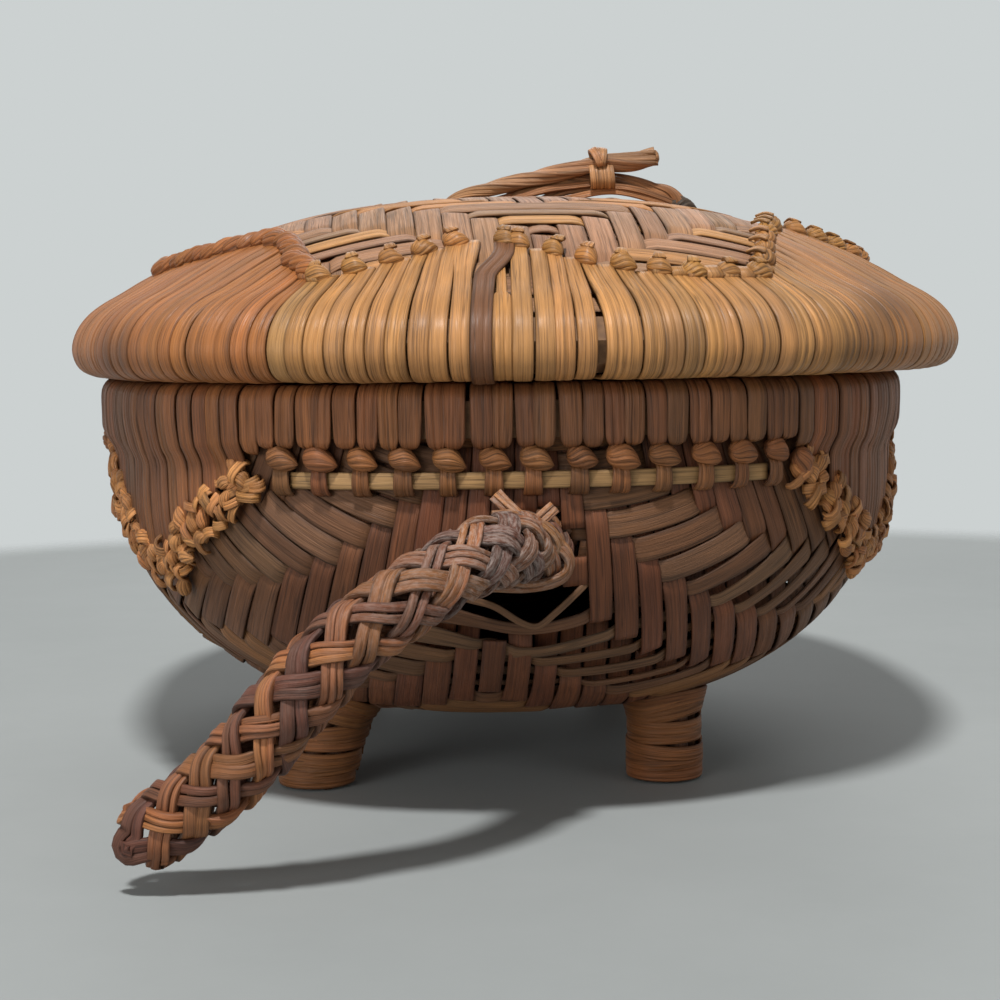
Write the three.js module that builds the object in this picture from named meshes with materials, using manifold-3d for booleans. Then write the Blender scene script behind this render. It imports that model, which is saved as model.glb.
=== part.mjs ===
// A lidded basket in the shape of a turtle, woven of split cane.
// The bowl stands on four bound legs and has a braided tail at its -Y end and a braided head at +Y.
// The lid is a low woven dome with a thick bound rim, and it lifts straight off.
// Millimetres, +Z up. The origin is on the floor, under the middle of the lid's outline.
import * as THREE from "three";
import { mergeVertices } from "three/addons/utils/BufferGeometryUtils.js";
import Module from "manifold-3d";

const wasm = await Module();
wasm.setup();

// Clearance between pieces that touch, and how near two corners are when they count as one
const GAP = 0.3;
const MERGE_DISTANCE = 1e-4;

// Plan of the basket: a squarish oval, the same for the bowl and the lid
const PLAN_EXPONENT = 2.4;
const LENGTH_EXTRA = 18;

// Bowl: its flat base, its straight wall at the rim, and the curve between them. The curve leaves
// the base towards a point BILGE_SPREAD out and BILGE_LIFT up, and meets the wall BILGE_HEIGHT up.
const BOWL_RADIUS = 83.3;
const BOWL_WALL = 2.4;
const BOWL_DEPTH = 65.5;
const BASE_RADIUS = 46;
const BILGE_HEIGHT = 44.5;
const BILGE_SPREAD = 23;
const BILGE_LIFT = 6.5;
const BILGE_DEPTH = 20;
const LEG_HEIGHT = 17.5;
const WALL_STEPS = 6;
const WALL_FINE_STEPS = 60;

// Weave of the bowl and the lid: a flat twill mat of strips along X and Y, pressed into shape. Its
// strips are shown in broad ones, WEAVE_PITCH apart, that stand WEAVE_RELIEF over the hollows
// between them, and the hollows stand WEAVE_LIFT over the plain wall. Where another piece lies on
// the wall, the weave sinks into it. The mat gathers as it bends up, so that its width takes only
// a share of the wall's height.
const WEAVE_PITCH = 18;
const WEAVE_RELIEF = 1;
const WEAVE_LIFT = 0.2;
const WEAVE_SINK = 0.8;
const WEAVE_BACK = 1.4;
const WEAVE_FLOAT = 2;
const MAT_SHARE = 0.9;

// Binding of the bowl's rim: cane strip over a hoop on each side of the wall
const CANE = 0.9;
const HOOP_THICKNESS = 2.2;
const HOOP_HEIGHT = 6.5;
const HOOP_DROP = 2;
const RIM_ROUNDING = 1.6;
const BAND_SHARES = [0, 1 / 3, 2 / 3, 1];
const BAND_BELOW_HOOP = 1.5;
const BAND_TAPER = 6;
const BAND_STANDOFF = 0.35;
const POINT_DROP = 24.5;
const POINT_ANGLE = 53;
const POINT_HALF_SPAN = 20;
const INNER_BAND_BELOW_HOOP = 4.5;

// Edging of knots along both bindings, and the flat splints that it holds to the bowl. A corner of
// each knot points down and in, KNOT_CORNER degrees from straight out, where it lies on the lid.
const KNOT_RADIUS = 2.1;
const LID_KNOT_RADIUS = 1.7;
const KNOT_WAIST = 0.75;
const KNOT_SIDES = 5;
const KNOT_CORNER = -115;
const SPLINT_HEIGHT = 2.1;
const SPLINT_THICKNESS = 1.1;
const SPLINT_DROP = 0.6;
const SPLINT_END_ANGLE = 7.5;
const SPLINT_STEPS = 6;

// Lid: a low dome, the bound roll round its rim and the ring that keeps it in the bowl's mouth
const LID_OVERHANG = 8.5;
const LID_WALL = 2.4;
const DOME_OVERLAP = 1.9;
const DOME_RISE = 25.5;
const DOME_POWER = 2.6;
const DOME_SHARES = [0.2, 0.4, 0.55, 0.7, 0.82, 0.92, 1];
const ROLL_RADIUS = 6.9;
const EDGE_DROP = 1.8;
const LID_PLAY = 3.3;
const RING_THICKNESS = 2.6;
const RING_DROP = 7;

// Greatest width of the lid's binding inside its roll, and how much of it the binding has at
// degrees from an end of the plan towards a side
const LID_BAND_WIDTH = 16.3;
const LID_BAND = [
  [0, 0.6],
  [28.5, 0.09],
  [45, 1],
  [53, 0.57],
  [90, 0.63],
];

// Legs: a core that passes through the bowl's base, a flat cane wound round it and a tie inside.
// Each foot stands at shares of the base's half width and half length, and leans out by degrees.
const LEG_CORE_RADIUS = 6.9;
const LEG_END = 1;
const LEG_SIDES = 16;
const LEG_STRIP_WIDTH = 2.5;
const LEG_STRIP_THICKNESS = 1.2;
const LEG_STRIP_GAP = 0.55;
const LEG_STRIP_STEPS = 18;
const LEG_STRIP_FOOT = 0.8;
const LEG_TIE_RADIUS = 1.1;
const LEG_TIE_SIDES = 5;
const LEGS = [
  { name: "front_left", across: -0.913, along: -0.734, lean: -19 },
  { name: "front_right", across: 0.674, along: -0.781, lean: 0 },
  { name: "rear_left", across: -0.783, along: 0.75, lean: -10 },
  { name: "rear_right", across: 0.783, along: 0.75, lean: 10 },
];

// Tail and head: braids that pass through the ends of the bowl, below its splints, and are tied
// inside. The tail's route is in shares of its reach to the side, its reach out and its fall.
const BRAID_SIDES = 12;
const BRAID_TIE_RADIUS = 2;
const BRAID_TIE_SIDES = 6;
const BRAID_TIE_STEPS = 16;
const BRAID_INSIDE = 2;
const BRAID_STRAIGHT = 2;
const TAIL_RADIUS = 6.4;
const TAIL_DROP = 4.9;
const TAIL_SIDE = 2;
const TAIL_REACH_SIDE = -72.5;
const TAIL_REACH_OUT = -28;
const TAIL_TIP_HEIGHT = 7;
const TAIL_STEPS = 24;
const TAIL_TIP_SHARE = 0.06;
const TAIL_TIP_SHRINK = 0.35;
const TAIL_ROUTE = [
  [0.15, 0.64, -0.03],
  [0.32, 0.91, 0.07],
  [0.48, 1, 0.23],
  [0.62, 0.98, 0.45],
  [0.77, 0.86, 0.71],
  [1, 0.64, 1],
];
const HEAD_NECK_RADIUS = 6.8;
const HEAD_RADIUS = 10.6;
const HEAD_LENGTH = 34.5;
const HEAD_DROP = 2;
const HEAD_RISE = 3;
const HEAD_STEPS = 16;
const HEAD_SWELL = 0.6;
const HEAD_TIP_SHRINK = 0.85;

// Handle on the lid: a low arch and a longer cane above it, tied together where the longer one passes
const HANDLE_RADIUS = 2.1;
const HANDLE_SIDES = 8;
const HANDLE_STEPS = 16;
const ARCH_LEFT = 4;
const ARCH_RIGHT = 41.5;
const ARCH_SHOULDER = 6;
const ARCH_SHOULDER_RISE = 3;
const GRIP_LEFT = -12;
const GRIP_END = 34.5;
const GRIP_END_RISE = 1.5;
const GRIP_SHOULDER = 7;
const GRIP_SHOULDER_RISE = 2.4;
const GRIP_TILT = 53;
const HANDLE_LEAN = 3.5;
const HANDLE_END_RADIUS = 3.2;
const HANDLE_TIE_X = 22;
const HANDLE_TIE_LENGTH = 6;
const HANDLE_TIE_WALL = 1.3;
const HANDLE_TIE_SIDES = 16;
const HANDLE_TIE_CLEARANCE = 1;
const HANDLE_STRAIGHT = 1;

const { lerp, smoothstep, degToRad: degrees, radToDeg } = THREE.MathUtils;

const LEG_STRIP_PITCH = LEG_STRIP_WIDTH + LEG_STRIP_GAP;

// Heights above the floor that follow from the sizes
const WALL_TOP = LEG_HEIGHT + BOWL_DEPTH;
const RIM_TOP = WALL_TOP + GAP + CANE;
const LID_BOTTOM = RIM_TOP + GAP;
const HOOP_TOP = WALL_TOP - HOOP_DROP;
const HOOP_BOTTOM = HOOP_TOP - HOOP_HEIGHT;
const BAND_LOW = HOOP_BOTTOM - BAND_BELOW_HOOP;
const SPLINT_TOP = BAND_LOW - GAP - 2 * KNOT_RADIUS - SPLINT_DROP;
const SPLINT_BOTTOM = SPLINT_TOP - SPLINT_HEIGHT;
const TAIL_HEIGHT = SPLINT_BOTTOM - TAIL_DROP - TAIL_RADIUS;
const HEAD_HEIGHT = SPLINT_BOTTOM - HEAD_DROP - HEAD_NECK_RADIUS;

// Half widths across the bowl's rim, from outside to inside
const RIM_OUTER = BOWL_RADIUS + GAP + HOOP_THICKNESS + GAP + CANE;
const WALL_INNER = BOWL_RADIUS - BOWL_WALL;
const RIM_INNER = WALL_INNER - GAP - HOOP_THICKNESS - GAP - CANE;

// The lid reaches out past the bowl's rim. Its ring has play in the bowl's mouth, and the lid
// stands pushed over to +X.
const LID_RADIUS = RIM_OUTER + LID_OVERHANG;
const RING_OUTER = RIM_INNER - LID_PLAY;
const LID_SHIFT = LID_PLAY - GAP;
const ROLL_INNER = RING_OUTER + GAP;
const DOME_RADIUS = LID_RADIUS - ROLL_RADIUS + DOME_OVERLAP;
const DOME_TOP = LID_BOTTOM + 2 * ROLL_RADIUS - EDGE_DROP + DOME_RISE;
const LID_BAND_OUTER = DOME_RADIUS - CANE - GAP - ROLL_RADIUS / 2;

// The handle's canes lie side by side in its tie, with the grip above and beside the arch
const GRIP_SPACING = 2 * HANDLE_RADIUS + GAP;
const GRIP_STACK = GRIP_SPACING * Math.sin(degrees(GRIP_TILT));
const GRIP_OFFSET = GRIP_SPACING * Math.cos(degrees(GRIP_TILT));
const HANDLE_TIE_INNER = GRIP_SPACING / 2 + HANDLE_RADIUS + GAP;
const HANDLE_TIE_OUTER = HANDLE_TIE_INNER + HANDLE_TIE_WALL;
const HANDLE_TIE_RISE = HANDLE_TIE_OUTER + HANDLE_TIE_CLEARANCE;
const ARCH_RISE = HANDLE_TIE_RISE - GRIP_STACK / 2;
const GRIP_RISE = HANDLE_TIE_RISE + GRIP_STACK / 2;

// Angles round a quarter of the plan, in degrees from an end to a side, where the outlines turn
const POINT_START = POINT_ANGLE - POINT_HALF_SPAN;
const POINT_END = POINT_ANGLE + POINT_HALF_SPAN;
const QUARTER = [0, 9.5, 19, 39, 60, 66.5, 82, 90, POINT_START, POINT_ANGLE, POINT_END]
  .concat(LID_BAND.map(([turn]) => turn))
  .sort((a, b) => a - b)
  .filter((turn, i, all) => i === 0 || turn > all[i - 1]);

// The same angles round the whole plan, in radians from +X
const STATIONS = [0, 1, 2, 3].flatMap((quarter) => {
  const turns = quarter % 2 ? QUARTER.map((turn) => 90 - turn).reverse() : QUARTER;
  return turns.slice(0, -1).map((turn) => degrees(90 * quarter - 90 + turn));
});

// A point of the plan, on the oval of a half width, at an angle from +X
function oval(half, angle, z) {
  const c = Math.cos(angle);
  const s = Math.sin(angle);
  const power = Math.abs(c) ** PLAN_EXPONENT + Math.abs(s) ** PLAN_EXPONENT;
  const stretch = power ** (-1 / PLAN_EXPONENT);
  const extra = LENGTH_EXTRA * Math.min(1, half / BASE_RADIUS);
  return new THREE.Vector3(half * stretch * c, (half + extra) * stretch * s, z);
}

// The half width of the oval that passes through a point of the plan
function halfAt(x, y) {
  const rounds = 12;
  let half = Math.hypot(x, y);
  for (let i = 0; i < rounds; i++) {
    const extra = LENGTH_EXTRA * Math.min(1, half / BASE_RADIUS);
    const power = Math.abs(x / half) ** PLAN_EXPONENT + Math.abs(y / (half + extra)) ** PLAN_EXPONENT;
    half *= power ** (1 / PLAN_EXPONENT);
  }
  return half;
}

// The angle at which the oval of a half width passes through a point of the plan
function planAngle(x, y, half) {
  const extra = LENGTH_EXTRA * Math.min(1, half / BASE_RADIUS);
  return Math.atan2(y / (half + extra), x / half);
}

// Degrees from the nearer end of the plan, 0 at an end and 90 at a side
function fromEnd(angle) {
  return radToDeg(Math.atan2(Math.abs(Math.cos(angle)), Math.abs(Math.sin(angle))));
}

// One item for each of a number of equal turns, in radians
function around(count, item) {
  return Array.from({ length: count }, (_, i) => item((2 * Math.PI * i) / count));
}

// Straight lines through [x, y] pairs
function between(pairs, x) {
  const next = pairs.findIndex((pair) => pair[0] >= x);
  if (next <= 0) return pairs.at(next)[1];
  const [x0, y0] = pairs[next - 1];
  const [x1, y1] = pairs[next];
  return lerp(y0, y1, (x - x0) / (x1 - x0));
}

// Makes the faces of a closed geometry point out
function facingOut(geometry) {
  const position = geometry.getAttribute("position");
  const index = geometry.index.array;
  const corner = (i) => new THREE.Vector3().fromBufferAttribute(position, index[i]);
  let volume = 0;
  for (let i = 0; i < index.length; i += 3) {
    volume += corner(i).dot(corner(i + 1).cross(corner(i + 2)));
  }
  if (volume < 0) index.reverse();
  geometry.computeVertexNormals();
  return geometry;
}

// Joins rings of points into one closed solid. A loop meets its own start, and an open run is capped.
function skin(rings, loop = false) {
  const count = rings[0].length;
  const points = rings.flat();
  const faces = [];
  const spans = loop ? rings.length : rings.length - 1;
  for (let i = 0; i < spans; i++) {
    const here = i * count;
    const there = ((i + 1) % rings.length) * count;
    for (let j = 0; j < count; j++) {
      const k = (j + 1) % count;
      faces.push(here + j, here + k, there + k, here + j, there + k, there + j);
    }
  }
  const cap = (ring, start, reverse) => {
    const middle = ring.reduce((sum, point) => sum.add(point), new THREE.Vector3());
    points.push(middle.divideScalar(count));
    for (let j = 0; j < count; j++) {
      const edge = [start + j, start + ((j + 1) % count)];
      faces.push(points.length - 1, ...(reverse ? edge.reverse() : edge));
    }
  };
  if (!loop) {
    cap(rings[0], 0, true);
    cap(rings.at(-1), (rings.length - 1) * count, false);
  }
  const geometry = new THREE.BufferGeometry().setFromPoints(points);
  geometry.setIndex(new THREE.BufferAttribute(new Uint32Array(faces), 1));
  return facingOut(geometry);
}

// A ring round the plan. section(angle) lists the [half width, height] corners of its cross-section.
function ringSolid(section, angles = STATIONS) {
  const ring = (angle) => section(angle).map(([half, z]) => oval(half, angle, z));
  return skin(angles.map(ring), true);
}

// A shell over the whole plan. Its profile runs from the middle of one face to that of the other.
function shellSolid(profile) {
  return skin(profile.map(([half, z]) => STATIONS.map((angle) => oval(half, angle, z))));
}

// Moves a profile of [half width, height] points to its left by a distance
function offset(profile, distance) {
  return profile.map(([half, z], i) => {
    const [half0, z0] = profile[Math.max(0, i - 1)];
    const [half1, z1] = profile[Math.min(profile.length - 1, i + 1)];
    const length = Math.hypot(half1 - half0, z1 - z0);
    return [half - ((z1 - z0) / length) * distance, z + ((half1 - half0) / length) * distance];
  });
}

// A strip of even thickness whose face follows a profile
const strip = (profile, thickness) => [...profile, ...offset(profile, thickness).reverse()];

// A round rod along a curve, with its radius given at each point and its share of the length
function rod(curve, steps, sides, radiusAt) {
  const { normals, binormals } = curve.computeFrenetFrames(steps);
  return skin(
    normals.map((normal, i) => {
      const centre = curve.getPointAt(i / steps);
      const radius = radiusAt(centre, i / steps);
      return around(sides, (turn) => {
        const out = normal.clone().multiplyScalar(radius * Math.cos(turn));
        return out.addScaledVector(binormals[i], radius * Math.sin(turn)).add(centre);
      });
    }),
  );
}

// Closed solid of a geometry, for cutting and joining
function solidOf(geometry) {
  const bare = new THREE.BufferGeometry();
  bare.setAttribute("position", geometry.getAttribute("position"));
  bare.setIndex(geometry.index);
  const merged = mergeVertices(bare, MERGE_DISTANCE);
  return new wasm.Manifold(
    new wasm.Mesh({
      numProp: 3,
      vertProperties: new Float32Array(merged.attributes.position.array),
      triVerts: new Uint32Array(merged.index.array),
    }),
  );
}

function geometryOf(solid) {
  const mesh = solid.getMesh();
  const geometry = new THREE.BufferGeometry();
  geometry.setAttribute("position", new THREE.BufferAttribute(mesh.vertProperties, 3));
  geometry.setIndex(new THREE.BufferAttribute(mesh.triVerts, 1));
  geometry.computeVertexNormals();
  return geometry;
}

// Takes tools away from a geometry
function cut(geometry, tools) {
  return geometryOf(tools.reduce((solid, tool) => solid.subtract(solidOf(tool)), solidOf(geometry)));
}

// Makes one solid of a geometry and others that run into it
function join(geometry, others) {
  return geometryOf(others.reduce((solid, other) => solid.add(solidOf(other)), solidOf(geometry)));
}

// The bowl's wall in section, as [half width, height] from its base up to its rim
const BILGE = new THREE.CubicBezierCurve(
  new THREE.Vector2(BASE_RADIUS, LEG_HEIGHT),
  new THREE.Vector2(BASE_RADIUS + BILGE_SPREAD, LEG_HEIGHT + BILGE_LIFT),
  new THREE.Vector2(BOWL_RADIUS, LEG_HEIGHT + BILGE_HEIGHT - BILGE_DEPTH),
  new THREE.Vector2(BOWL_RADIUS, LEG_HEIGHT + BILGE_HEIGHT),
);
const BOWL_OUTSIDE = [
  [BASE_RADIUS / 2, LEG_HEIGHT],
  ...BILGE.getPoints(WALL_STEPS).map((point) => point.toArray()),
  [BOWL_RADIUS, WALL_TOP],
];
const BOWL_INSIDE = offset(BOWL_OUTSIDE, BOWL_WALL);
const WALL_CURVE = BILGE.getPoints(WALL_FINE_STEPS).map((point) => [point.y, point.x]);
const wallHalf = (z) => between(WALL_CURVE, z);
const insideHalf = (z) => between(BOWL_INSIDE.slice(1).map(([half, height]) => [height, half]), z);
const floorHeight = (x, y) => between(BOWL_INSIDE, halfAt(x, y));

// The half width at a distance square to the outside of the wall, at a height
function outFromWall(distance, z) {
  const step = 0.5;
  const slope = (wallHalf(z + step) - wallHalf(z - step)) / (2 * step);
  return wallHalf(z) + distance * Math.hypot(1, slope);
}

// The lower edge of the rim's binding, which drops to a point near each corner of the plan
function bandEdge(angle) {
  const share = 1 - Math.abs(fromEnd(angle) - POINT_ANGLE) / POINT_HALF_SPAN;
  return BAND_LOW - POINT_DROP * Math.max(0, share);
}

// The lid's woven dome, and the inner edge of its binding
const domeHeight = (half) => DOME_TOP - DOME_RISE * (half / DOME_RADIUS) ** DOME_POWER;
const lidEdge = (angle) => LID_BAND_OUTER - LID_BAND_WIDTH * between(LID_BAND, fromEnd(angle));

// How far apart two pieces along a slanting edge stand in a section, for each unit square to it
function slant(edge, half, angle) {
  const step = 0.02;
  const sides = [-step, step].map((turn) => {
    const along = oval(half, angle, 0).distanceTo(oval(half, angle + turn, 0));
    return Math.hypot(1, (edge(angle + turn) - edge(angle)) / along);
  });
  return Math.max(...sides);
}

// Whether a lengthwise strip of the weave passes over a crosswise one, in concentric diamonds
const lengthwiseOver = (i, j) => (Math.abs(i) + Math.abs(j)) % (2 * WEAVE_FLOAT) < WEAVE_FLOAT;

// Whether a strip is on top at half steps of the weave. Strips have their middles at even steps.
function onTop(a, b) {
  if (a % 2 && b % 2) return false;
  if (a % 2) return !lengthwiseOver((a - 1) / 2, b / 2) && !lengthwiseOver((a + 1) / 2, b / 2);
  if (b % 2) return lengthwiseOver(a / 2, (b - 1) / 2) && lengthwiseOver(a / 2, (b + 1) / 2);
  return true;
}

// A closed layer with the relief of the weave, to be joined to a shell. place(u, v) tells of a place
// of the flat mat whether it is on the shell, whether it is bare, and where it is at a rise.
function weaveLayer(place) {
  const step = WEAVE_PITCH / 2;
  const count = Math.ceil((BOWL_RADIUS + BOWL_DEPTH + LENGTH_EXTRA) / step);
  const size = 2 * count + 1;
  const key = (a, b) => (a + count) * size + b + count;
  const places = Array.from({ length: size * size }, (_, i) => {
    const a = Math.floor(i / size) - count;
    const b = (i % size) - count;
    return { a, b, ...place((a + 1 / 2) * step, (b + 1 / 2) * step) };
  });
  const near = ({ a, b }) => [-1, 0, 1].flatMap((i) => [-1, 0, 1].map((j) => places[key(a + i, b + j)]));
  const rise = (spot) => {
    if (!near(spot).every((other) => other?.bare)) return -WEAVE_SINK;
    return WEAVE_LIFT + (onTop(spot.a, spot.b) ? WEAVE_RELIEF : 0);
  };
  const points = places.flatMap((spot) => {
    return spot.onShell ? [spot.at(rise(spot)), spot.at(-WEAVE_BACK)] : [null, null];
  });
  const corners = (a, b) => [key(a, b), key(a + 1, b), key(a + 1, b + 1), key(a, b + 1)];
  const whole = (a, b) => corners(a, b).every((corner) => places[corner]?.onShell);
  const faces = [];
  const quad = (p, q, r, s) => faces.push(p, q, r, p, r, s);
  for (const { a, b } of places) {
    if (!whole(a, b)) continue;
    const cell = corners(a, b);
    const turn = Math.abs(a + b) % 2;
    const [p, q, r, s] = [0, 1, 2, 3].map((i) => 2 * cell[(i + turn) % 4]);
    quad(p, q, r, s);
    quad(p + 1, s + 1, r + 1, q + 1);
    [[0, -1], [1, 0], [0, 1], [-1, 0]].forEach(([right, up], i) => {
      if (whole(a + right, b + up)) return;
      const [start, end] = [2 * cell[i], 2 * cell[(i + 1) % 4]];
      quad(end, start, start + 1, end + 1);
    });
  }
  const used = [...new Set(faces)];
  const order = new Map(used.map((point, i) => [point, i]));
  const geometry = new THREE.BufferGeometry().setFromPoints(used.map((point) => points[point]));
  geometry.setIndex(new THREE.BufferAttribute(new Uint32Array(faces.map((i) => order.get(i))), 1));
  return facingOut(geometry);
}

// The place of the bowl's mat at u to the right and v along, on the base or up the wall
function onBowl(u, v) {
  const mat = halfAt(u, v);
  const angle = planAngle(u, v, mat);
  const arc = (mat - BASE_RADIUS) / MAT_SHARE;
  const share = Math.min(1, Math.max(0, arc / BILGE.getLength()));
  const section = BILGE.getPointAt(share);
  const tangent = BILGE.getTangentAt(share);
  section.x += Math.min(0, arc);
  section.y += Math.max(0, arc - BILGE.getLength());
  const bareTop = Math.min(SPLINT_BOTTOM, bowlKnotCentre(angle)[1] - KNOT_RADIUS) - GAP;
  return {
    onShell: section.y < HOOP_BOTTOM,
    bare: arc > 0 && section.y < bareTop,
    at: (rise) => oval(section.x + rise * tangent.y, angle, section.y - rise * tangent.x),
  };
}

// A bowl-shaped wall with holes for what passes through it
function wovenBowl(tools) {
  const shell = shellSolid([...BOWL_OUTSIDE, ...BOWL_INSIDE.toReversed()]);
  return cut(join(shell, [weaveLayer(onBowl)]), tools);
}

// Cane strip over the rim, bulged by the outer hoop and lying on the wall below it
function rimBinding() {
  const faceHalf = (z) => {
    const bulge = smoothstep(z, HOOP_BOTTOM - BAND_TAPER, HOOP_BOTTOM);
    const clear = GAP + CANE + BAND_STANDOFF * (1 - bulge);
    return outFromWall(clear, z) + (HOOP_THICKNESS + GAP) * bulge;
  };
  return ringSolid((angle) => {
    const outer = BAND_SHARES.map((share) => {
      const z = lerp(bandEdge(angle), HOOP_BOTTOM, share);
      return [faceHalf(z), z];
    });
    const profile = [
      ...outer,
      [RIM_OUTER, RIM_TOP - 2 * RIM_ROUNDING],
      [RIM_OUTER - RIM_ROUNDING, RIM_TOP],
      [RIM_INNER + RIM_ROUNDING, RIM_TOP],
      [RIM_INNER, RIM_TOP - 2 * RIM_ROUNDING],
      [RIM_INNER, HOOP_BOTTOM],
      [WALL_INNER - GAP - CANE, HOOP_BOTTOM - INNER_BAND_BELOW_HOOP],
    ];
    return strip(profile, CANE);
  });
}

function hoop(inner) {
  return ringSolid(() => [
    [inner, HOOP_BOTTOM],
    [inner + HOOP_THICKNESS, HOOP_BOTTOM],
    [inner + HOOP_THICKNESS, HOOP_TOP],
    [inner, HOOP_TOP],
  ]);
}

// A row of knots as one beaded ring, with a knot at each station and a waist between. centreAt(angle)
// gives the [half width, height] of its middle.
function knotRing(centreAt, knotRadius) {
  const angles = STATIONS.flatMap((angle, i) => {
    const next = i + 1 < STATIONS.length ? STATIONS[i + 1] : STATIONS[0] + 2 * Math.PI;
    return [angle, (angle + next) / 2];
  });
  const section = (angle) => {
    const [half, z] = centreAt(angle);
    const radius = STATIONS.includes(angle) ? knotRadius : KNOT_WAIST * knotRadius;
    return around(KNOT_SIDES, (turn) => [
      half + radius * Math.cos(turn + degrees(KNOT_CORNER)),
      z + radius * Math.sin(turn + degrees(KNOT_CORNER)),
    ]);
  };
  return ringSolid(section, angles);
}

function bowlKnotCentre(angle) {
  const drop = (GAP + KNOT_RADIUS) * slant(bandEdge, BOWL_RADIUS, angle);
  const z = bandEdge(angle) - drop;
  return [outFromWall(GAP + KNOT_RADIUS, z), z];
}

function lidKnotCentre(angle) {
  const edge = lidEdge(angle);
  const half = edge - (GAP + LID_KNOT_RADIUS) * slant(lidEdge, edge, angle);
  return [half, domeHeight(half - LID_KNOT_RADIUS) + GAP + LID_KNOT_RADIUS];
}

// A flat splint on the wall below the knots, centred on an angle in degrees
function splint(centre, halfSpan) {
  const rings = Array.from({ length: SPLINT_STEPS + 1 }, (_, i) => {
    const angle = degrees(centre + lerp(-halfSpan, halfSpan, i / SPLINT_STEPS));
    const half = wallHalf(SPLINT_TOP) + GAP;
    return [
      oval(half, angle, SPLINT_BOTTOM),
      oval(half + SPLINT_THICKNESS, angle, SPLINT_BOTTOM),
      oval(half + SPLINT_THICKNESS, angle, SPLINT_TOP),
      oval(half, angle, SPLINT_TOP),
    ];
  });
  return skin(rings);
}

// A point at a distance and a turn from the leaning axis of a leg, at a height
function legPoint(leg, radius, turn, z) {
  const x = leg.across * BASE_RADIUS - Math.tan(degrees(leg.lean)) * z;
  const y = leg.along * (BASE_RADIUS + LENGTH_EXTRA);
  return new THREE.Vector3(x + radius * Math.cos(turn), y + radius * Math.sin(turn), z);
}

function legRod(leg, radius, low, high) {
  return skin([low, high].map((z) => around(LEG_SIDES, (turn) => legPoint(leg, radius, turn, z))));
}

// Height of the middle of a leg's tie, just above the highest part of the floor that it lies on
function legTieHeight(leg) {
  const reach = LEG_CORE_RADIUS + GAP + 2 * LEG_TIE_RADIUS;
  const heights = around(LEG_SIDES, (turn) => {
    const { x, y } = legPoint(leg, reach, turn, LEG_HEIGHT + BOWL_WALL);
    return floorHeight(x, y);
  });
  return Math.max(...heights) + GAP + LEG_TIE_RADIUS;
}

function legCore(leg) {
  return legRod(leg, LEG_CORE_RADIUS, 0, legTieHeight(leg) + LEG_TIE_RADIUS + LEG_END);
}

function legTie(leg) {
  const radius = LEG_CORE_RADIUS + GAP + LEG_TIE_RADIUS;
  const z = legTieHeight(leg);
  const section = (turn) => {
    return around(LEG_TIE_SIDES, (roll) => {
      const out = radius + LEG_TIE_RADIUS * Math.cos(roll);
      return legPoint(leg, out, turn, z + LEG_TIE_RADIUS * Math.sin(roll));
    });
  };
  return skin(around(LEG_SIDES, section), true);
}

// One flat cane wound from near the foot up to the bowl's base, as rings of four corners. Its upper
// end is on the side towards the middle of the base, where the base is flat.
function legWindingRings(leg) {
  const inner = LEG_CORE_RADIUS + GAP;
  const low = LEG_STRIP_FOOT;
  const rise = LEG_HEIGHT - GAP - LEG_STRIP_WIDTH - low;
  const end = Math.atan2(-leg.along, -leg.across);
  const steps = Math.round((LEG_STRIP_STEPS * rise) / LEG_STRIP_PITCH);
  return Array.from({ length: steps + 1 }, (_, i) => {
    const z = low + (rise * i) / steps;
    const turn = end + (2 * Math.PI * (z - low - rise)) / LEG_STRIP_PITCH;
    return [
      legPoint(leg, inner, turn, z),
      legPoint(leg, inner + LEG_STRIP_THICKNESS, turn, z),
      legPoint(leg, inner + LEG_STRIP_THICKNESS, turn, z + LEG_STRIP_WIDTH),
      legPoint(leg, inner, turn, z + LEG_STRIP_WIDTH),
    ];
  });
}

// The least distance between the points of rings that are at least half a turn apart
function leastGap(rings) {
  let least = Infinity;
  rings.forEach((ring, i) => {
    for (const other of rings.slice(i + LEG_STRIP_STEPS / 2)) {
      for (const a of ring) {
        for (const b of other) least = Math.min(least, a.distanceTo(b));
      }
    }
  });
  return least;
}

// Where a braid of a radius and height passes the end wall, as distances from the bowl's middle
function braidRoot(radius, height) {
  const reach = radius + GAP + 2 * BRAID_TIE_RADIUS;
  const tie = insideHalf(height - reach) + LENGTH_EXTRA - GAP - BRAID_TIE_RADIUS;
  return { tie, end: tie - BRAID_TIE_RADIUS - BRAID_INSIDE, face: wallHalf(height) + LENGTH_EXTRA };
}

const TAIL_ROOT = braidRoot(TAIL_RADIUS, TAIL_HEIGHT);
const TAIL_CURVE = new THREE.CatmullRomCurve3([
  new THREE.Vector3(TAIL_SIDE, -TAIL_ROOT.end, TAIL_HEIGHT),
  new THREE.Vector3(TAIL_SIDE, -TAIL_ROOT.face, TAIL_HEIGHT),
  new THREE.Vector3(TAIL_SIDE, -TAIL_ROOT.face - BRAID_STRAIGHT, TAIL_HEIGHT),
  ...TAIL_ROUTE.map(([side, out, fall]) => {
    const z = lerp(TAIL_HEIGHT, TAIL_TIP_HEIGHT, fall);
    return new THREE.Vector3(
      TAIL_SIDE + side * TAIL_REACH_SIDE,
      out * TAIL_REACH_OUT - TAIL_ROOT.face,
      z,
    );
  }),
]);

function tail(clearance = 0) {
  const radiusAt = (_, share) => {
    const tip = smoothstep(share, 1 - TAIL_TIP_SHARE, 1);
    return TAIL_RADIUS * (1 - TAIL_TIP_SHRINK * tip) + clearance;
  };
  return rod(TAIL_CURVE, TAIL_STEPS, BRAID_SIDES, radiusAt);
}

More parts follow.
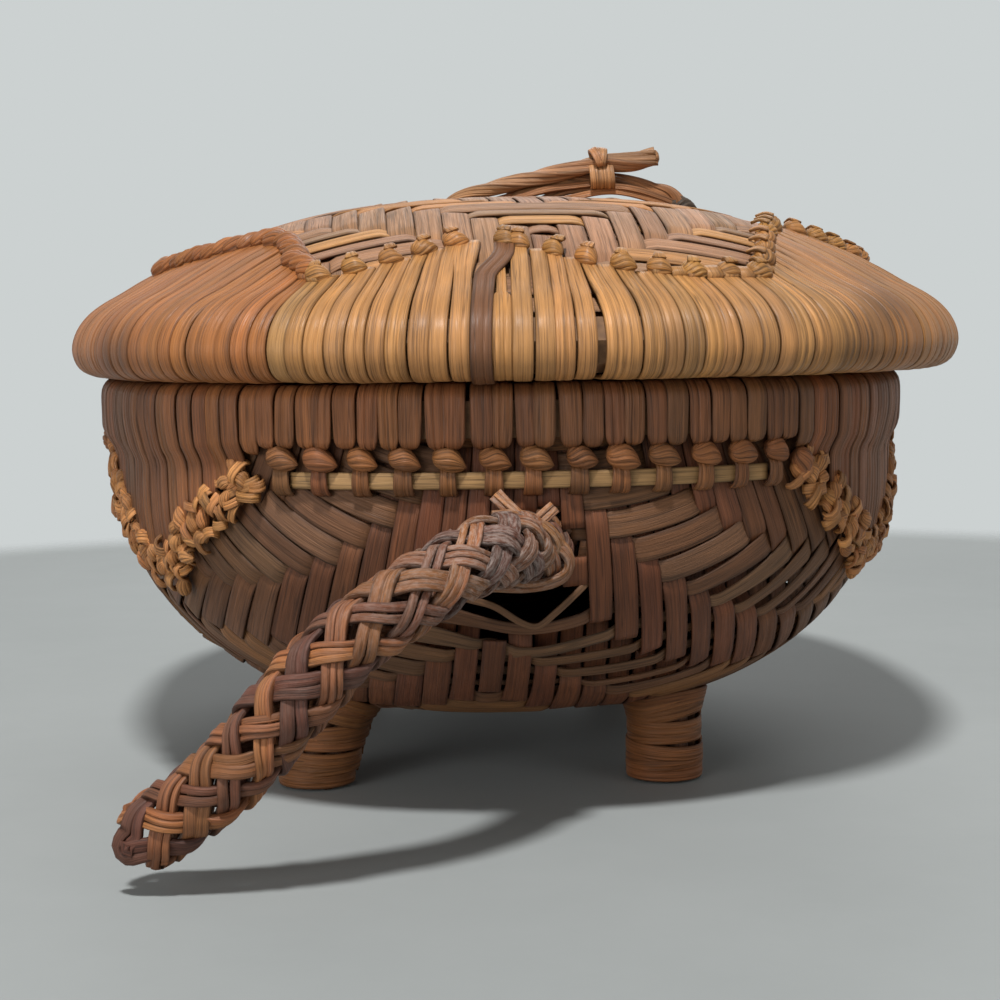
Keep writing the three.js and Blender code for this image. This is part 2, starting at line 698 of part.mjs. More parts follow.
const HEAD_ROOT = braidRoot(HEAD_NECK_RADIUS, HEAD_HEIGHT);
const HEAD_CURVE = new THREE.CatmullRomCurve3([
  new THREE.Vector3(0, HEAD_ROOT.end, HEAD_HEIGHT),
  new THREE.Vector3(0, HEAD_ROOT.face, HEAD_HEIGHT),
  new THREE.Vector3(0, HEAD_ROOT.face + BRAID_STRAIGHT, HEAD_HEIGHT),
  new THREE.Vector3(0, HEAD_ROOT.face + HEAD_LENGTH, HEAD_HEIGHT + HEAD_RISE),
]);

// The head swells from its neck to its widest place and closes to a blunt nose
function head(clearance = 0) {
  const radiusAt = (point) => {
    const share = Math.max(0, (point.y - HEAD_ROOT.face) / HEAD_LENGTH);
    const swell = lerp(HEAD_NECK_RADIUS, HEAD_RADIUS, smoothstep(share, 0, HEAD_SWELL));
    const nose = Math.max(0, (share - HEAD_SWELL) / (1 - HEAD_SWELL));
    return swell * Math.sqrt(1 - HEAD_TIP_SHRINK * nose ** 2) + clearance;
  };
  return rod(HEAD_CURVE, HEAD_STEPS, BRAID_SIDES, radiusAt);
}

// A tie round a braid, inside the end wall
function braidTie(radius, x, y, z) {
  const geometry = new THREE.TorusGeometry(
    radius + GAP + BRAID_TIE_RADIUS,
    BRAID_TIE_RADIUS,
    BRAID_TIE_SIDES,
    BRAID_TIE_STEPS,
  );
  return geometry.rotateX(Math.PI / 2).translate(x, y, z);
}

// The place of the lid's mat at u to the right and v along
function onLid(u, v) {
  const half = halfAt(u, v);
  const angle = planAngle(u, v, half);
  return {
    onShell: half < LID_BAND_OUTER,
    bare: half < lidKnotCentre(angle)[0] - LID_KNOT_RADIUS - GAP,
    at: (rise) => oval(half, angle, domeHeight(half) + rise),
  };
}

function wovenLid(tools) {
  const outside = DOME_SHARES.map((share) => [share * DOME_RADIUS, domeHeight(share * DOME_RADIUS)]);
  const inside = outside.map(([half, z]) => [half, z - LID_WALL]);
  return cut(join(shellSolid([...outside, ...inside.reverse()]), [weaveLayer(onLid)]), tools);
}

// A point of the rim's roll, at an angle in degrees above the horizontal and in from its face
function rollPoint(angle, inset) {
  const radius = ROLL_RADIUS - inset;
  const half = LID_RADIUS - ROLL_RADIUS + radius * Math.cos(degrees(angle));
  return [half, LID_BOTTOM + ROLL_RADIUS + radius * Math.sin(degrees(angle))];
}

const underDome = (half) => domeHeight(half) - LID_WALL - GAP;

// Bundle of cane that fills the rim, between the dome and the flat underside
function rimCore() {
  const inset = CANE + GAP;
  const inner = ROLL_INNER + inset;
  const middle = (inner + DOME_RADIUS) / 2;
  return ringSolid(() => [
    [inner, LID_BOTTOM + inset],
    ...[-90, -45, 0, 45].map((angle) => rollPoint(angle, inset)),
    [DOME_RADIUS + GAP, underDome(DOME_RADIUS)],
    [middle, underDome(middle)],
    [inner, underDome(inner)],
  ]);
}

// Cane strip from its edge on the dome, out over the roll and in under the rim
function lidBinding() {
  return ringSolid((angle) => {
    const top = BAND_SHARES.map((share) => {
      const half = lerp(lidEdge(angle), LID_BAND_OUTER, share);
      return [half, domeHeight(half) + GAP + CANE];
    });
    const profile = [
      ...top,
      ...[45, 0, -45, -90].map((turn) => rollPoint(turn, 0)),
      [ROLL_INNER, LID_BOTTOM],
      [ROLL_INNER, underDome(ROLL_INNER + CANE)],
    ];
    return strip(profile, -CANE);
  });
}

// Ring under the dome that keeps the lid in the bowl's mouth
function locatingRing() {
  const inner = RING_OUTER - RING_THICKNESS;
  const low = RIM_TOP - RING_DROP;
  const high = underDome(RING_OUTER);
  return ringSolid(() => [
    [inner, low],
    [RING_OUTER, low],
    [RING_OUTER, high],
    [inner, high],
  ]);
}

// A cane of the handle along a route, with a knotted end below the dome at each foot
function handleCane(route, feet) {
  const curve = new THREE.CatmullRomCurve3(route);
  const cane = rod(curve, HANDLE_STEPS, HANDLE_SIDES, () => HANDLE_RADIUS);
  const ends = feet.map((foot) => {
    const end = new THREE.IcosahedronGeometry(HANDLE_END_RADIUS, 1);
    return end.translate(foot.x, foot.y, foot.z);
  });
  const hole = rod(curve, HANDLE_STEPS, HANDLE_SIDES, () => HANDLE_RADIUS + GAP);
  return { geometry: join(cane, ends), hole };
}

// The middle of a foot's knotted end, just clear of the underside of the dome
function handleFoot(x, lean, y) {
  const reach = Math.abs(x + lean) + HANDLE_END_RADIUS;
  return new THREE.Vector3(x + lean, y, underDome(reach) - HANDLE_END_RADIUS);
}

// The low arch has both its feet in the dome and runs straight through the tie
function handleArch() {
  const y = GRIP_OFFSET / 2;
  const at = (x, rise) => new THREE.Vector3(x, y, DOME_TOP + rise);
  const left = handleFoot(ARCH_LEFT, -HANDLE_LEAN, y);
  const right = handleFoot(ARCH_RIGHT, HANDLE_LEAN, y);
  const half = HANDLE_TIE_LENGTH / 2 + HANDLE_STRAIGHT;
  return handleCane(
    [
      left,
      at(ARCH_LEFT + ARCH_SHOULDER, ARCH_SHOULDER_RISE),
      at(HANDLE_TIE_X - half, ARCH_RISE),
      at(HANDLE_TIE_X, ARCH_RISE),
      at(HANDLE_TIE_X + half, ARCH_RISE),
      at(ARCH_RIGHT - ARCH_SHOULDER, ARCH_SHOULDER_RISE),
      right,
    ],
    [left, right],
  );
}

// The longer cane rises from its foot over the arch, and its other end stands free past the tie
function handleGrip() {
  const y = -GRIP_OFFSET / 2;
  const at = (x, rise) => new THREE.Vector3(x, y, DOME_TOP + rise);
  const foot = handleFoot(GRIP_LEFT, -HANDLE_LEAN, y);
  const half = HANDLE_TIE_LENGTH / 2 + HANDLE_STRAIGHT;
  return handleCane(
    [
      foot,
      at(GRIP_LEFT + GRIP_SHOULDER, GRIP_SHOULDER_RISE),
      at(HANDLE_TIE_X - half, GRIP_RISE),
      at(HANDLE_TIE_X, GRIP_RISE),
      at(HANDLE_TIE_X + half, GRIP_RISE),
      at(GRIP_END, GRIP_RISE + GRIP_END_RISE),
    ],
    [foot],
  );
}

function handleTie() {
  const half = HANDLE_TIE_LENGTH / 2;
  const profile = [
    new THREE.Vector2(HANDLE_TIE_INNER, -half),
    new THREE.Vector2(HANDLE_TIE_OUTER, -half),
    new THREE.Vector2(HANDLE_TIE_OUTER, half),
    new THREE.Vector2(HANDLE_TIE_INNER, half),
    new THREE.Vector2(HANDLE_TIE_INNER, -half),
  ];
  const geometry = new THREE.LatheGeometry(profile, HANDLE_TIE_SIDES).rotateZ(Math.PI / 2);
  return facingOut(geometry.translate(HANDLE_TIE_X, 0, DOME_TOP + HANDLE_TIE_RISE));
}

const material = (color, roughness) =>
  new THREE.MeshStandardMaterial({ color, roughness, metalness: 0 });

function piece(group, name, geometry, look) {
  const mesh = new THREE.Mesh(geometry, look.clone());
  mesh.name = name;
  group.add(mesh);
}

const DARK_CANE = material(0x5f4436, 0.6);
const BROWN_CANE = material(0x8a5a36, 0.5);
const GOLD_CANE = material(0xc08a4c, 0.45);
const PALE_BAMBOO = material(0xcdb27a, 0.55);
const BRAID_CANE = material(0x8f6142, 0.6);

const bowl = new THREE.Group();
bowl.position.x = -LID_SHIFT;
const legHoles = LEGS.map((leg) => {
  return legRod(leg, LEG_CORE_RADIUS + GAP, LEG_HEIGHT / 2, legTieHeight(leg));
});
piece(bowl, "woven_bowl", wovenBowl([...legHoles, tail(GAP), head(GAP)]), DARK_CANE);
piece(bowl, "bowl_rim_binding", rimBinding(), BROWN_CANE);
piece(bowl, "bowl_outer_hoop", hoop(BOWL_RADIUS + GAP), PALE_BAMBOO);
piece(bowl, "bowl_inner_hoop", hoop(WALL_INNER - GAP - HOOP_THICKNESS), PALE_BAMBOO);
piece(bowl, "bowl_knot_edging", knotRing(bowlKnotCentre, KNOT_RADIUS), GOLD_CANE);
const endSpan = POINT_START - SPLINT_END_ANGLE;
const sideSpan = 90 - POINT_END - SPLINT_END_ANGLE;
piece(bowl, "front_splint", splint(-90, endSpan), PALE_BAMBOO);
piece(bowl, "rear_splint", splint(90, endSpan), PALE_BAMBOO);
piece(bowl, "left_splint", splint(180, sideSpan), PALE_BAMBOO);
piece(bowl, "right_splint", splint(0, sideSpan), PALE_BAMBOO);
for (const leg of LEGS) {
  const winding = legWindingRings(leg);
  console.log(`Winding of leg ${leg.name}: least gap to itself ${leastGap(winding).toFixed(2)} mm`);
  piece(bowl, `leg_core_${leg.name}`, legCore(leg), BROWN_CANE);
  piece(bowl, `leg_winding_${leg.name}`, skin(winding), GOLD_CANE);
  piece(bowl, `leg_tie_${leg.name}`, legTie(leg), BROWN_CANE);
}
piece(bowl, "tail_braid", tail(), BRAID_CANE);
piece(bowl, "tail_tie", braidTie(TAIL_RADIUS, TAIL_SIDE, -TAIL_ROOT.tie, TAIL_HEIGHT), BROWN_CANE);
piece(bowl, "head_braid", head(), BRAID_CANE);
piece(bowl, "head_tie", braidTie(HEAD_NECK_RADIUS, 0, HEAD_ROOT.tie, HEAD_HEIGHT), BROWN_CANE);

const lid = new THREE.Group();
const arch = handleArch();
const grip = handleGrip();
piece(lid, "woven_lid", wovenLid([arch.hole, grip.hole]), DARK_CANE);
piece(lid, "lid_rim_core", rimCore(), PALE_BAMBOO);
piece(lid, "lid_rim_binding", lidBinding(), GOLD_CANE);
piece(lid, "lid_knot_edging", knotRing(lidKnotCentre, LID_KNOT_RADIUS), GOLD_CANE);
piece(lid, "lid_locating_ring", locatingRing(), BROWN_CANE);
piece(lid, "handle_arch", arch.geometry, BROWN_CANE);
piece(lid, "handle_grip", grip.geometry, BROWN_CANE);
piece(lid, "handle_tie", handleTie(), GOLD_CANE);

const basket = new THREE.Group();
basket.add(bowl, lid);
export default basket;
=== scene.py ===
import math

import bmesh
import bpy
import numpy as np
from mathutils import Matrix, Vector


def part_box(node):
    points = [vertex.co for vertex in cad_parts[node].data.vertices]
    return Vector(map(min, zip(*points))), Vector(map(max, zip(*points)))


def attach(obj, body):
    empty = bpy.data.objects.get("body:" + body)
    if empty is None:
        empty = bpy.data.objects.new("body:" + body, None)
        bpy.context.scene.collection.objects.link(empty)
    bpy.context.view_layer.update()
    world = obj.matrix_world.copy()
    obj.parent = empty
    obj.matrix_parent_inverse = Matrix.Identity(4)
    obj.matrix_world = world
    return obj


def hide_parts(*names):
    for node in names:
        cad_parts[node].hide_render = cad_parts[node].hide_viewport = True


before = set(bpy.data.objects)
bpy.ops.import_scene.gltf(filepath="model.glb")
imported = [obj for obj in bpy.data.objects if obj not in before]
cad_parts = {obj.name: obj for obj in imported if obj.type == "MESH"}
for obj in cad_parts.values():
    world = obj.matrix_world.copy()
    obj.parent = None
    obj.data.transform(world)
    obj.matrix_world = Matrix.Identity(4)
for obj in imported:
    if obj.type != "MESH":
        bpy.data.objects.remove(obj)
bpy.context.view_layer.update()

# Every size is in millimetres until a mesh is made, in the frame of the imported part.
MM = 0.001
TAU = 2 * math.pi

# Plan and section of the bowl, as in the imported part: a squarish oval with a bulging wall
PLAN_EXPONENT = 2.4
LENGTH_EXTRA = 18.0
BASE_RADIUS = 46.0
BASE_HEIGHT = 17.5
BOWL_X = -3.0
BOWL_RADIUS = 83.3
BILGE_BEND = (69, 24)
BILGE_HIGH = 42
BILGE_TOP = 62
WALL_TOP = 83.0
GAP = 0.3
CANE = 0.9

# Binding of the bowl's rim, whose lower edge drops to points
RIM_OUTER = 87.0
RIM_INNER = 77.2
RIM_TOP = 84.2
HOOP_BOTTOM = 74.5
HOOP_THICKNESS = 2.2
BAND_LOW = 73.0
BAND_TAPER = 6.0
POINT_ANGLE = 53.0
POINT_HALF_SPAN = 20.0
POINT_DROP = 24.5

# Lid, its rim and the ring under it
LID_BOTTOM = 84.5
LID_RADIUS = 95.5
DOME_RADIUS = 90.5
DOME_TOP = 122.0
DOME_RISE = 25.5
DOME_POWER = 2.6
RING_OUTER = 73.9
RING_THICKNESS = 2.6
RING_BOTTOM = 77.2
RING_TOP = 104.2

# Legs as (x, y, lean in degrees), and the braids at the front and rear end
LEGS = [(-42.0, -47.0, -19.0), (31.0, -50.0, 0.0), (-36.0, 48.0, -10.0), (36.0, 48.0, 10.0)]
LEG_NAMES = ["front_left", "front_right", "rear_left", "rear_right"]
LEG_CORE = 6.9
TAIL_X = 1.0
TAIL_Z = 54.5
TAIL_RADIUS = 6.2
HEAD_Z = 57.0
HEAD_NECK = 6.8
HEAD_SWELL = 10.6
HEAD_FACE = 101.2

rng = np.random.default_rng(11)


# Small helpers
def lerp(a, b, t):
    return a + (b - a) * t


def smooth(t):
    t = np.clip(t, 0, 1)
    return t * t * (3 - 2 * t)


def unit(v):
    return v / np.maximum(np.linalg.norm(v, axis=-1, keepdims=True), 1e-9)


def rgb(r, g, b):
    """A colour given as 0 to 255 on screen, as linear numbers."""
    c = np.array([r, g, b]) / 255
    return np.where(c <= 0.04045, c / 12.92, ((c + 0.055) / 1.055) ** 2.4)


def vary(colour, amount=0.1, hue=0.04):
    """A strip's own shade of a colour."""
    return colour * (1 + rng.uniform(-amount, amount)) * (1 + rng.uniform(-hue, hue, 3))


def ripple(phase):
    """A wave that starts at a place of its own."""
    return np.sin(phase + rng.uniform(0, 6))


def arc_length(line):
    """How far along a line each of its points lies."""
    return np.concatenate([[0], np.cumsum(np.linalg.norm(np.diff(line, axis=0), axis=1))])


def points_at(line, arc, at):
    """Points of a line at these distances along it."""
    return np.stack([np.interp(at, arc, column) for column in line.T], 1)


def smoothed(points, count):
    """Points spread evenly along a rounded line through the given ones."""
    points = np.asarray(points, float)
    padded = np.vstack([2 * points[0] - points[1], points, 2 * points[-1] - points[-2]])
    t = np.linspace(0, 1, 12, endpoint=False)[:, None]
    rows = []
    for i in range(1, len(padded) - 2):
        p0, p1, p2, p3 = padded[i - 1 : i + 3]
        bend = 2 * p0 - 5 * p1 + 4 * p2 - p3
        twist = 3 * p1 - p0 - 3 * p2 + p3
        rows.append(0.5 * (2 * p1 + (p2 - p0) * t + bend * t**2 + twist * t**3))
    line = np.vstack(rows + [points[-1:]])
    arc = arc_length(line)
    return points_at(line, arc, np.linspace(0, arc[-1], count))


def frame_rows(path):
    """Tangents and two cross directions that turn as little as they can along a path."""
    tangent = unit(np.gradient(path, axis=0))
    first = np.cross(tangent[0], [0, 0, 1.0])
    if np.linalg.norm(first) < 0.1:
        first = np.cross(tangent[0], [1.0, 0, 0])
    rows = [unit(first)]
    for t in tangent[1:]:
        rows.append(unit(rows[-1] - t * (rows[-1] @ t)))
    across = np.array(rows)
    return tangent, across, np.cross(tangent, across)


def facing(out, row, direction):
    """Normals turned so that the one at this row faces the given way."""
    return out if out[row] @ direction > 0 else -out


# Plan and sections
def length_extra(half):
    """How much longer than wide the oval of this half width is, at each end."""
    return LENGTH_EXTRA * np.minimum(1, half / BASE_RADIUS)


def oval(half, angle):
    c, s = np.cos(angle), np.sin(angle)
    stretch = (np.abs(c) ** PLAN_EXPONENT + np.abs(s) ** PLAN_EXPONENT) ** (-1 / PLAN_EXPONENT)
    return half * stretch * c, (half + length_extra(half)) * stretch * s


def half_at(x, y):
    """Half width of the oval that goes through a place."""
    half = np.maximum(np.hypot(x, y), 1e-6)
    for _ in range(14):
        power = np.abs(x / half) ** PLAN_EXPONENT + np.abs(y / (half + length_extra(half))) ** PLAN_EXPONENT
        half = half * power ** (1 / PLAN_EXPONENT)
    return half


def angle_at(x, y, half):
    return np.arctan2(y / (half + length_extra(half)), x / half)


def plan_normal(half, angle):
    """Outward normal of the oval in plan, as (x, y)."""
    step = 1e-3
    x0, y0 = oval(half, angle - step)
    x1, y1 = oval(half, angle + step)
    return unit(np.stack([y1 - y0, x0 - x1], -1))


def level_normals(half, angle):
    """Outward normals of the oval as directions in space."""
    flat = plan_normal(half, angle)
    return np.concatenate([flat, np.zeros((len(flat), 1))], 1)


def from_end(angle):
    """Degrees from the nearer end of the plan, 0 at an end and 90 at a side."""
    return np.degrees(np.arctan2(np.abs(np.cos(angle)), np.abs(np.sin(angle))))


def half_turn(degrees):
    """The same direction, as -180 to 180 degrees."""
    return (degrees + 180) % 360 - 180


def fold_at(angle):
    """Degrees round from the front end, left negative."""
    return half_turn(np.degrees(angle) + 90)


def bilge():
    """The bulging lower part of the wall, as one curve with four control points."""
    p0, p1, p2, p3 = np.array([
        (BASE_RADIUS, BASE_HEIGHT), BILGE_BEND, (BOWL_RADIUS, BILGE_HIGH), (BOWL_RADIUS, BILGE_TOP),
    ])
    t = np.linspace(0, 1, 160)[:, None]
    return (1 - t) ** 3 * p0 + 3 * (1 - t) ** 2 * t * p1 + 3 * (1 - t) * t**2 * p2 + t**3 * p3


WALL_PROFILE = np.vstack([bilge(), [[BOWL_RADIUS, WALL_TOP]]])
WALL_ARC = arc_length(WALL_PROFILE)


def wall_half(z):
    return np.interp(z, WALL_PROFILE[:, 1], WALL_PROFILE[:, 0])


def wall_slope(z):
    return wall_half(z + 0.5) - wall_half(z - 0.5)


def band_edge(angle):
    """Height of the lower edge of the bowl's binding."""
    part = 1 - np.abs(from_end(angle) - POINT_ANGLE) / POINT_HALF_SPAN
    return BAND_LOW - POINT_DROP * np.maximum(0, part)


def face_half(z):
    """Half width of the outside of the rim's binding below its hoop."""
    bulge = smooth((z - HOOP_BOTTOM + BAND_TAPER) / BAND_TAPER)
    stand = GAP + CANE + 0.35 * (1 - bulge)
    return wall_half(z) + stand * np.hypot(1, wall_slope(z)) + (HOOP_THICKNESS + GAP) * bulge


def dome_height(half):
    return DOME_TOP - DOME_RISE * np.abs(half / DOME_RADIUS) ** DOME_POWER


# Cross-sections of a cane as (share of half width, share of thickness), round the outside
FLAT = np.array([
    (-1, 0.4), (-0.965, 0.78), (-0.86, 0.95), (-0.5, 1.01), (0, 1.03), (0.5, 1.01), (0.86, 0.95),
    (0.965, 0.78), (1, 0.4), (0.8, 0), (-0.8, 0),
])
SPLIT = np.array([
    (-1, 0.4), (-0.96, 0.8), (-0.84, 0.97), (-0.4, 1.02), (-0.3, 1.0), (-0.24, 0.78), (-0.17, 0.98),
    (0.3, 1.05), (0.52, 1.02), (0.58, 0.86), (0.64, 0.99), (0.86, 0.95), (0.965, 0.78), (1, 0.4),
    (0.8, 0), (-0.8, 0),
])
ROUND = np.array([
    (math.cos(t), 0.5 + 0.5 * math.sin(t)) for t in np.linspace(math.pi, -math.pi, 10, endpoint=False)
])


def either(share, one=SPLIT, other=FLAT):
    """One of two cross-sections, the first one in this share of the strips."""
    return one if rng.uniform() < share else other


class Strips:
    """Collects strips of cane for one mesh, with what the material reads at each point.

    That is a tint, the place on the strip, how near its edge it is, and dust.
    """

    def __init__(self):
        self.co, self.faces, self.tint, self.cane, self.edge, self.dust = [], [], [], [], [], []
        self.count = 0

    def grid(self, co, tint, cane, edge, loop=False, dust=0.0):
        """Points as rows x columns x 3, joined to a tube that has capped ends or closes to a loop."""
        rows, cols = co.shape[:2]
        index = self.count + np.arange(rows * cols).reshape(rows, cols)
        right = np.roll(index, -1, 1)
        quads = np.stack([index, right, np.roll(right, -1, 0), np.roll(index, -1, 0)], -1)
        if not loop:
            quads = quads[:-1]
        self.faces += quads.reshape(-1, 4).tolist()
        if not loop:
            self.faces.append(index[0][::-1].tolist())
            self.faces.append(index[-1].tolist())
        self.co.append(co.reshape(-1, 3))
        self.tint.append(np.broadcast_to(tint, co.shape).reshape(-1, 3))
        self.cane.append(np.broadcast_to(cane, co.shape).reshape(-1, 3))
        self.edge.append(np.broadcast_to(edge, co.shape[:2]).reshape(-1))
        self.dust.append(np.broadcast_to(dust, co.shape[:2]).reshape(-1))
        self.count += rows * cols

    def strip(
        self, path, out, width, thick, tint, section=FLAT, loop=False, base=0.0, seed=None, dust=0.0
    ):
        """A strip whose inner face follows path, with out its outward normals."""
        path = np.asarray(path, float)
        n = len(path)
        if loop:
            tangent = unit(np.roll(path, -1, 0) - np.roll(path, 1, 0))
        else:
            tangent = unit(np.gradient(path, axis=0))
        out = np.broadcast_to(np.asarray(out, float), path.shape)
        side = unit(np.cross(tangent, out))
        out = unit(np.cross(side, tangent))
        width = np.broadcast_to(width, (n,))[:, None, None]
        thick = np.broadcast_to(thick, (n,))[:, None, None]
        base = np.broadcast_to(base, (n,))[:, None, None]
        u = section[:, 0][None, :, None]
        h = section[:, 1][None, :, None]
        co = path[:, None] + side[:, None] * u * width / 2 + out[:, None] * (h * thick + base)
        shape = (n, len(section))
        if seed is None:
            seed = rng.uniform(0, 900)
        across = np.broadcast_to((u * width / 2)[..., 0], shape) + h[..., 0] * thick[..., 0]
        along = np.broadcast_to(arc_length(path)[:, None], shape)
        cane = np.stack([across, along, np.full(shape, seed)], -1)
        edge = np.broadcast_to(np.abs(section[:, 0])[None], shape)
        tint = np.asarray(tint, float)
        if tint.ndim == 2:
            tint = tint[:, None]
        dust = np.reshape(np.broadcast_to(dust, (n,)), (-1, 1))
        self.grid(co, tint, cane, edge, loop, dust)

    def turban(self, centre, axes, radii, tint, ridges, depth, twist, droop):
        """A knot whose turns run from its round left end to its pointed right one.

        The axes are right, up and out.
        """
        s = np.linspace(-0.985, 1, 12)[:, None]
        around = np.linspace(0, TAU, ridges * 4, endpoint=False)[None]
        left = np.sqrt(np.maximum(0, 1 - s**2)) ** 0.8
        right = (1 - np.abs(s) ** 2.2) ** 0.8 + 0.04
        crest = np.abs(np.cos(around * ridges / 2))
        r = np.where(s < 0, left, right) * (1 - depth * (1 - crest) ** 2)
        turn = around + twist * s
        x = radii[0] * (s + 0.3 * np.maximum(0, s) ** 2) + 0 * around
        z = -radii[1] * r * np.sin(turn) - droop * np.maximum(0, s + 0.3) ** 2
        y = -radii[2] * r * np.cos(turn)
        co = centre + x[..., None] * axes[0] + z[..., None] * axes[1] + y[..., None] * axes[2]
        cane = np.stack([around * 2.2 + 0 * s, x, np.full(x.shape, rng.uniform(0, 900))], -1)
        edge = np.broadcast_to((1 - crest) * 1.1, x.shape)
        self.grid(co, tint, cane, edge)

    def ball_end(self, centre, tangent, radius, tint):
        """A blunt rounded end of a cane."""
        first = unit(np.cross(tangent, [0, 0, 1.0]))
        second = np.cross(tangent, first)
        t = np.linspace(0.05, math.pi - 0.05, 7)[:, None]
        around = np.linspace(0, TAU, 14, endpoint=False)[None]
        co = centre + radius * (
            0.6 * np.cos(t)[..., None] * tangent
            + (np.sin(t) * np.cos(around))[..., None] * first
            + (np.sin(t) * np.sin(around))[..., None] * second
        )
        place = [np.cos(around) * 2 + 0 * t, np.sin(around) * 2 + 0 * t, np.full(co.shape[:2], 5.0)]
        self.grid(co, tint, np.stack(place, -1), 0.0)

    def piece(self, name, material, body, slot, *nodes):
        """The mesh of all strips so far, which stands for these nodes."""
        mesh = bpy.data.meshes.new(name)
        mesh.from_pydata((np.concatenate(self.co) * MM).tolist(), [], self.faces)
        tint = np.concatenate([np.concatenate(self.tint), np.ones((self.count, 1))], 1)
        layers = [
            ("tint", "FLOAT_COLOR", "color", tint),
            ("cane", "FLOAT_VECTOR", "vector", np.concatenate(self.cane)),
            ("edge", "FLOAT", "value", np.concatenate(self.edge)),
            ("dust", "FLOAT", "value", np.concatenate(self.dust)),
        ]
        for layer, kind, field, values in layers:
            attribute = mesh.attributes.new(layer, kind, "POINT")
            attribute.data.foreach_set(field, values.astype(np.float32).ravel())
        mesh.shade_smooth()
        mesh.materials.append(material)
        obj = bpy.data.objects.new(name, mesh)
        bpy.context.scene.collection.objects.link(obj)
        turn_outward(mesh)
        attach(obj, body)
        if nodes:
            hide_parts(*nodes)


def turn_outward(mesh):
    bm = bmesh.new()
    bm.from_mesh(mesh)
    bmesh.ops.recalc_face_normals(bm, faces=bm.faces)
    bm.to_mesh(mesh)
    bm.free()


# Materials
class Tree:
    """A short way to write shader nodes: an input is a number, a colour or another node's output."""

    def __init__(self, owner):
        owner.use_nodes = True
        self.nodes = owner.node_tree.nodes
        self.links = owner.node_tree.links

    def fill(self, node, inputs):
        for key, value in inputs.items():
            if isinstance(value, bpy.types.NodeSocket):
                self.links.new(value, node.inputs[key])
            else:
                node.inputs[key].default_value = value

    def node(self, kind, inputs=None, **settings):
        node = self.nodes.new("ShaderNode" + kind)
        for key, value in settings.items():
            setattr(node, key, value)
        self.fill(node, inputs or {})
        return node

    def math(self, operation, *values, clamp=False):
        return self.node("Math", dict(enumerate(values)), operation=operation, use_clamp=clamp).outputs[0]

    def ramp(self, value, low, high, to_low, to_high):
        limits = {"From Min": low, "From Max": high, "To Min": to_low, "To Max": to_high}
        return self.node("MapRange", {"Value": value, **limits}).outputs["Result"]

    def noise(self, vector, scale, **inputs):
        detail = {name.capitalize(): value for name, value in inputs.items()}
        return self.node("TexNoise", {"Vector": vector, "Scale": scale, **detail}).outputs["Fac"]

    def attribute(self, name, output="Fac"):
        return self.node("Attribute", attribute_name=name).outputs[output]

    def blend(self, factor, first, second):
        """A colour between two."""
        inputs = {"Factor": factor, "A": first, "B": second}
        return self.node("Mix", inputs, data_type="RGBA").outputs["Result"]


def opaque(r, g, b):
    return (*rgb(r, g, b), 1)


def cane_material(name, rough=0.45, grain=0.5, relief=0.25, coat=0.0, dusty=False):
    """Cane with long fibres, dark seams, slow patches and darker edges over the strip's own tint."""
    material = bpy.data.materials.new(name)
    tree = Tree(material)
    place = tree.attribute("cane", "Vector")

    def cane_noise(stretch, detail, roughness=0.6):
        """Noise that is drawn out along the strip."""
        vector = tree.node("VectorMath", {0: place, 1: stretch}, operation="MULTIPLY").outputs[0]
        return tree.noise(vector, 1, detail=detail, roughness=roughness)

    fibre = cane_noise((1.9, 0.03, 1.0), 3, 0.7)
    fine = cane_noise((7.0, 0.16, 1.7), 2)
    patch = cane_noise((0.3, 0.07, 1.0), 2)
    seam = tree.math("ABSOLUTE", tree.math("SUBTRACT", cane_noise((1.3, 0.02, 1.3), 2, 0.5), 0.5))
    edge = tree.math("POWER", tree.attribute("edge"), 5.0)
    streak = tree.math("ADD", tree.math("MULTIPLY", fibre, 0.6), tree.math("MULTIPLY", fine, 0.4))
    value = tree.ramp(streak, 0.32, 0.68, 1 - grain, 1 + grain * 0.6)
    value = tree.math("MULTIPLY", value, tree.ramp(seam, 0.0, 0.035, 0.5, 1.0))
    value = tree.math("MULTIPLY", value, tree.ramp(patch, 0.3, 0.7, 0.8, 1.16))
    value = tree.math("MULTIPLY", value, tree.ramp(edge, 0, 1, 1.0, 0.55))
    tint = tree.attribute("tint", "Color")
    colour = tree.node("VectorMath", {0: tint, "Scale": value}, operation="SCALE").outputs[0]
    if dusty:
        worn = tree.ramp(cane_noise((2.2, 0.7, 1.3), 4, 0.75), 0.42, 0.6, 0, 1)
        dust = tree.math("MULTIPLY", worn, tree.attribute("dust"), clamp=True)
        colour = tree.blend(dust, colour, opaque(205, 190, 180))
    bump = tree.node("Bump", {"Strength": relief, "Distance": 0.0008, "Height": streak})
    shader = tree.nodes["Principled BSDF"]
    tree.fill(shader, {
        "Base Color": colour,
        "Roughness": tree.ramp(fibre, 0.3, 0.7, rough + 0.14, rough - 0.08),
        "Specular IOR Level": 0.32,
        "Normal": bump.outputs["Normal"],
    })
    if coat:
        tree.fill(shader, {"Coat Weight": coat, "Coat Roughness": 0.3})
    return material


def core_material():
    """Speckled cane for the cores that stay as packed."""
    material = bpy.data.materials.new("core_cane")
    tree = Tree(material)
    speckle = tree.noise(tree.node("TexCoord").outputs["Object"], 900)
    colour = tree.blend(speckle, opaque(88, 58, 38), opaque(150, 112, 74))
    tree.fill(tree.nodes["Principled BSDF"], {"Base Color": colour, "Roughness": 0.7})
    return material


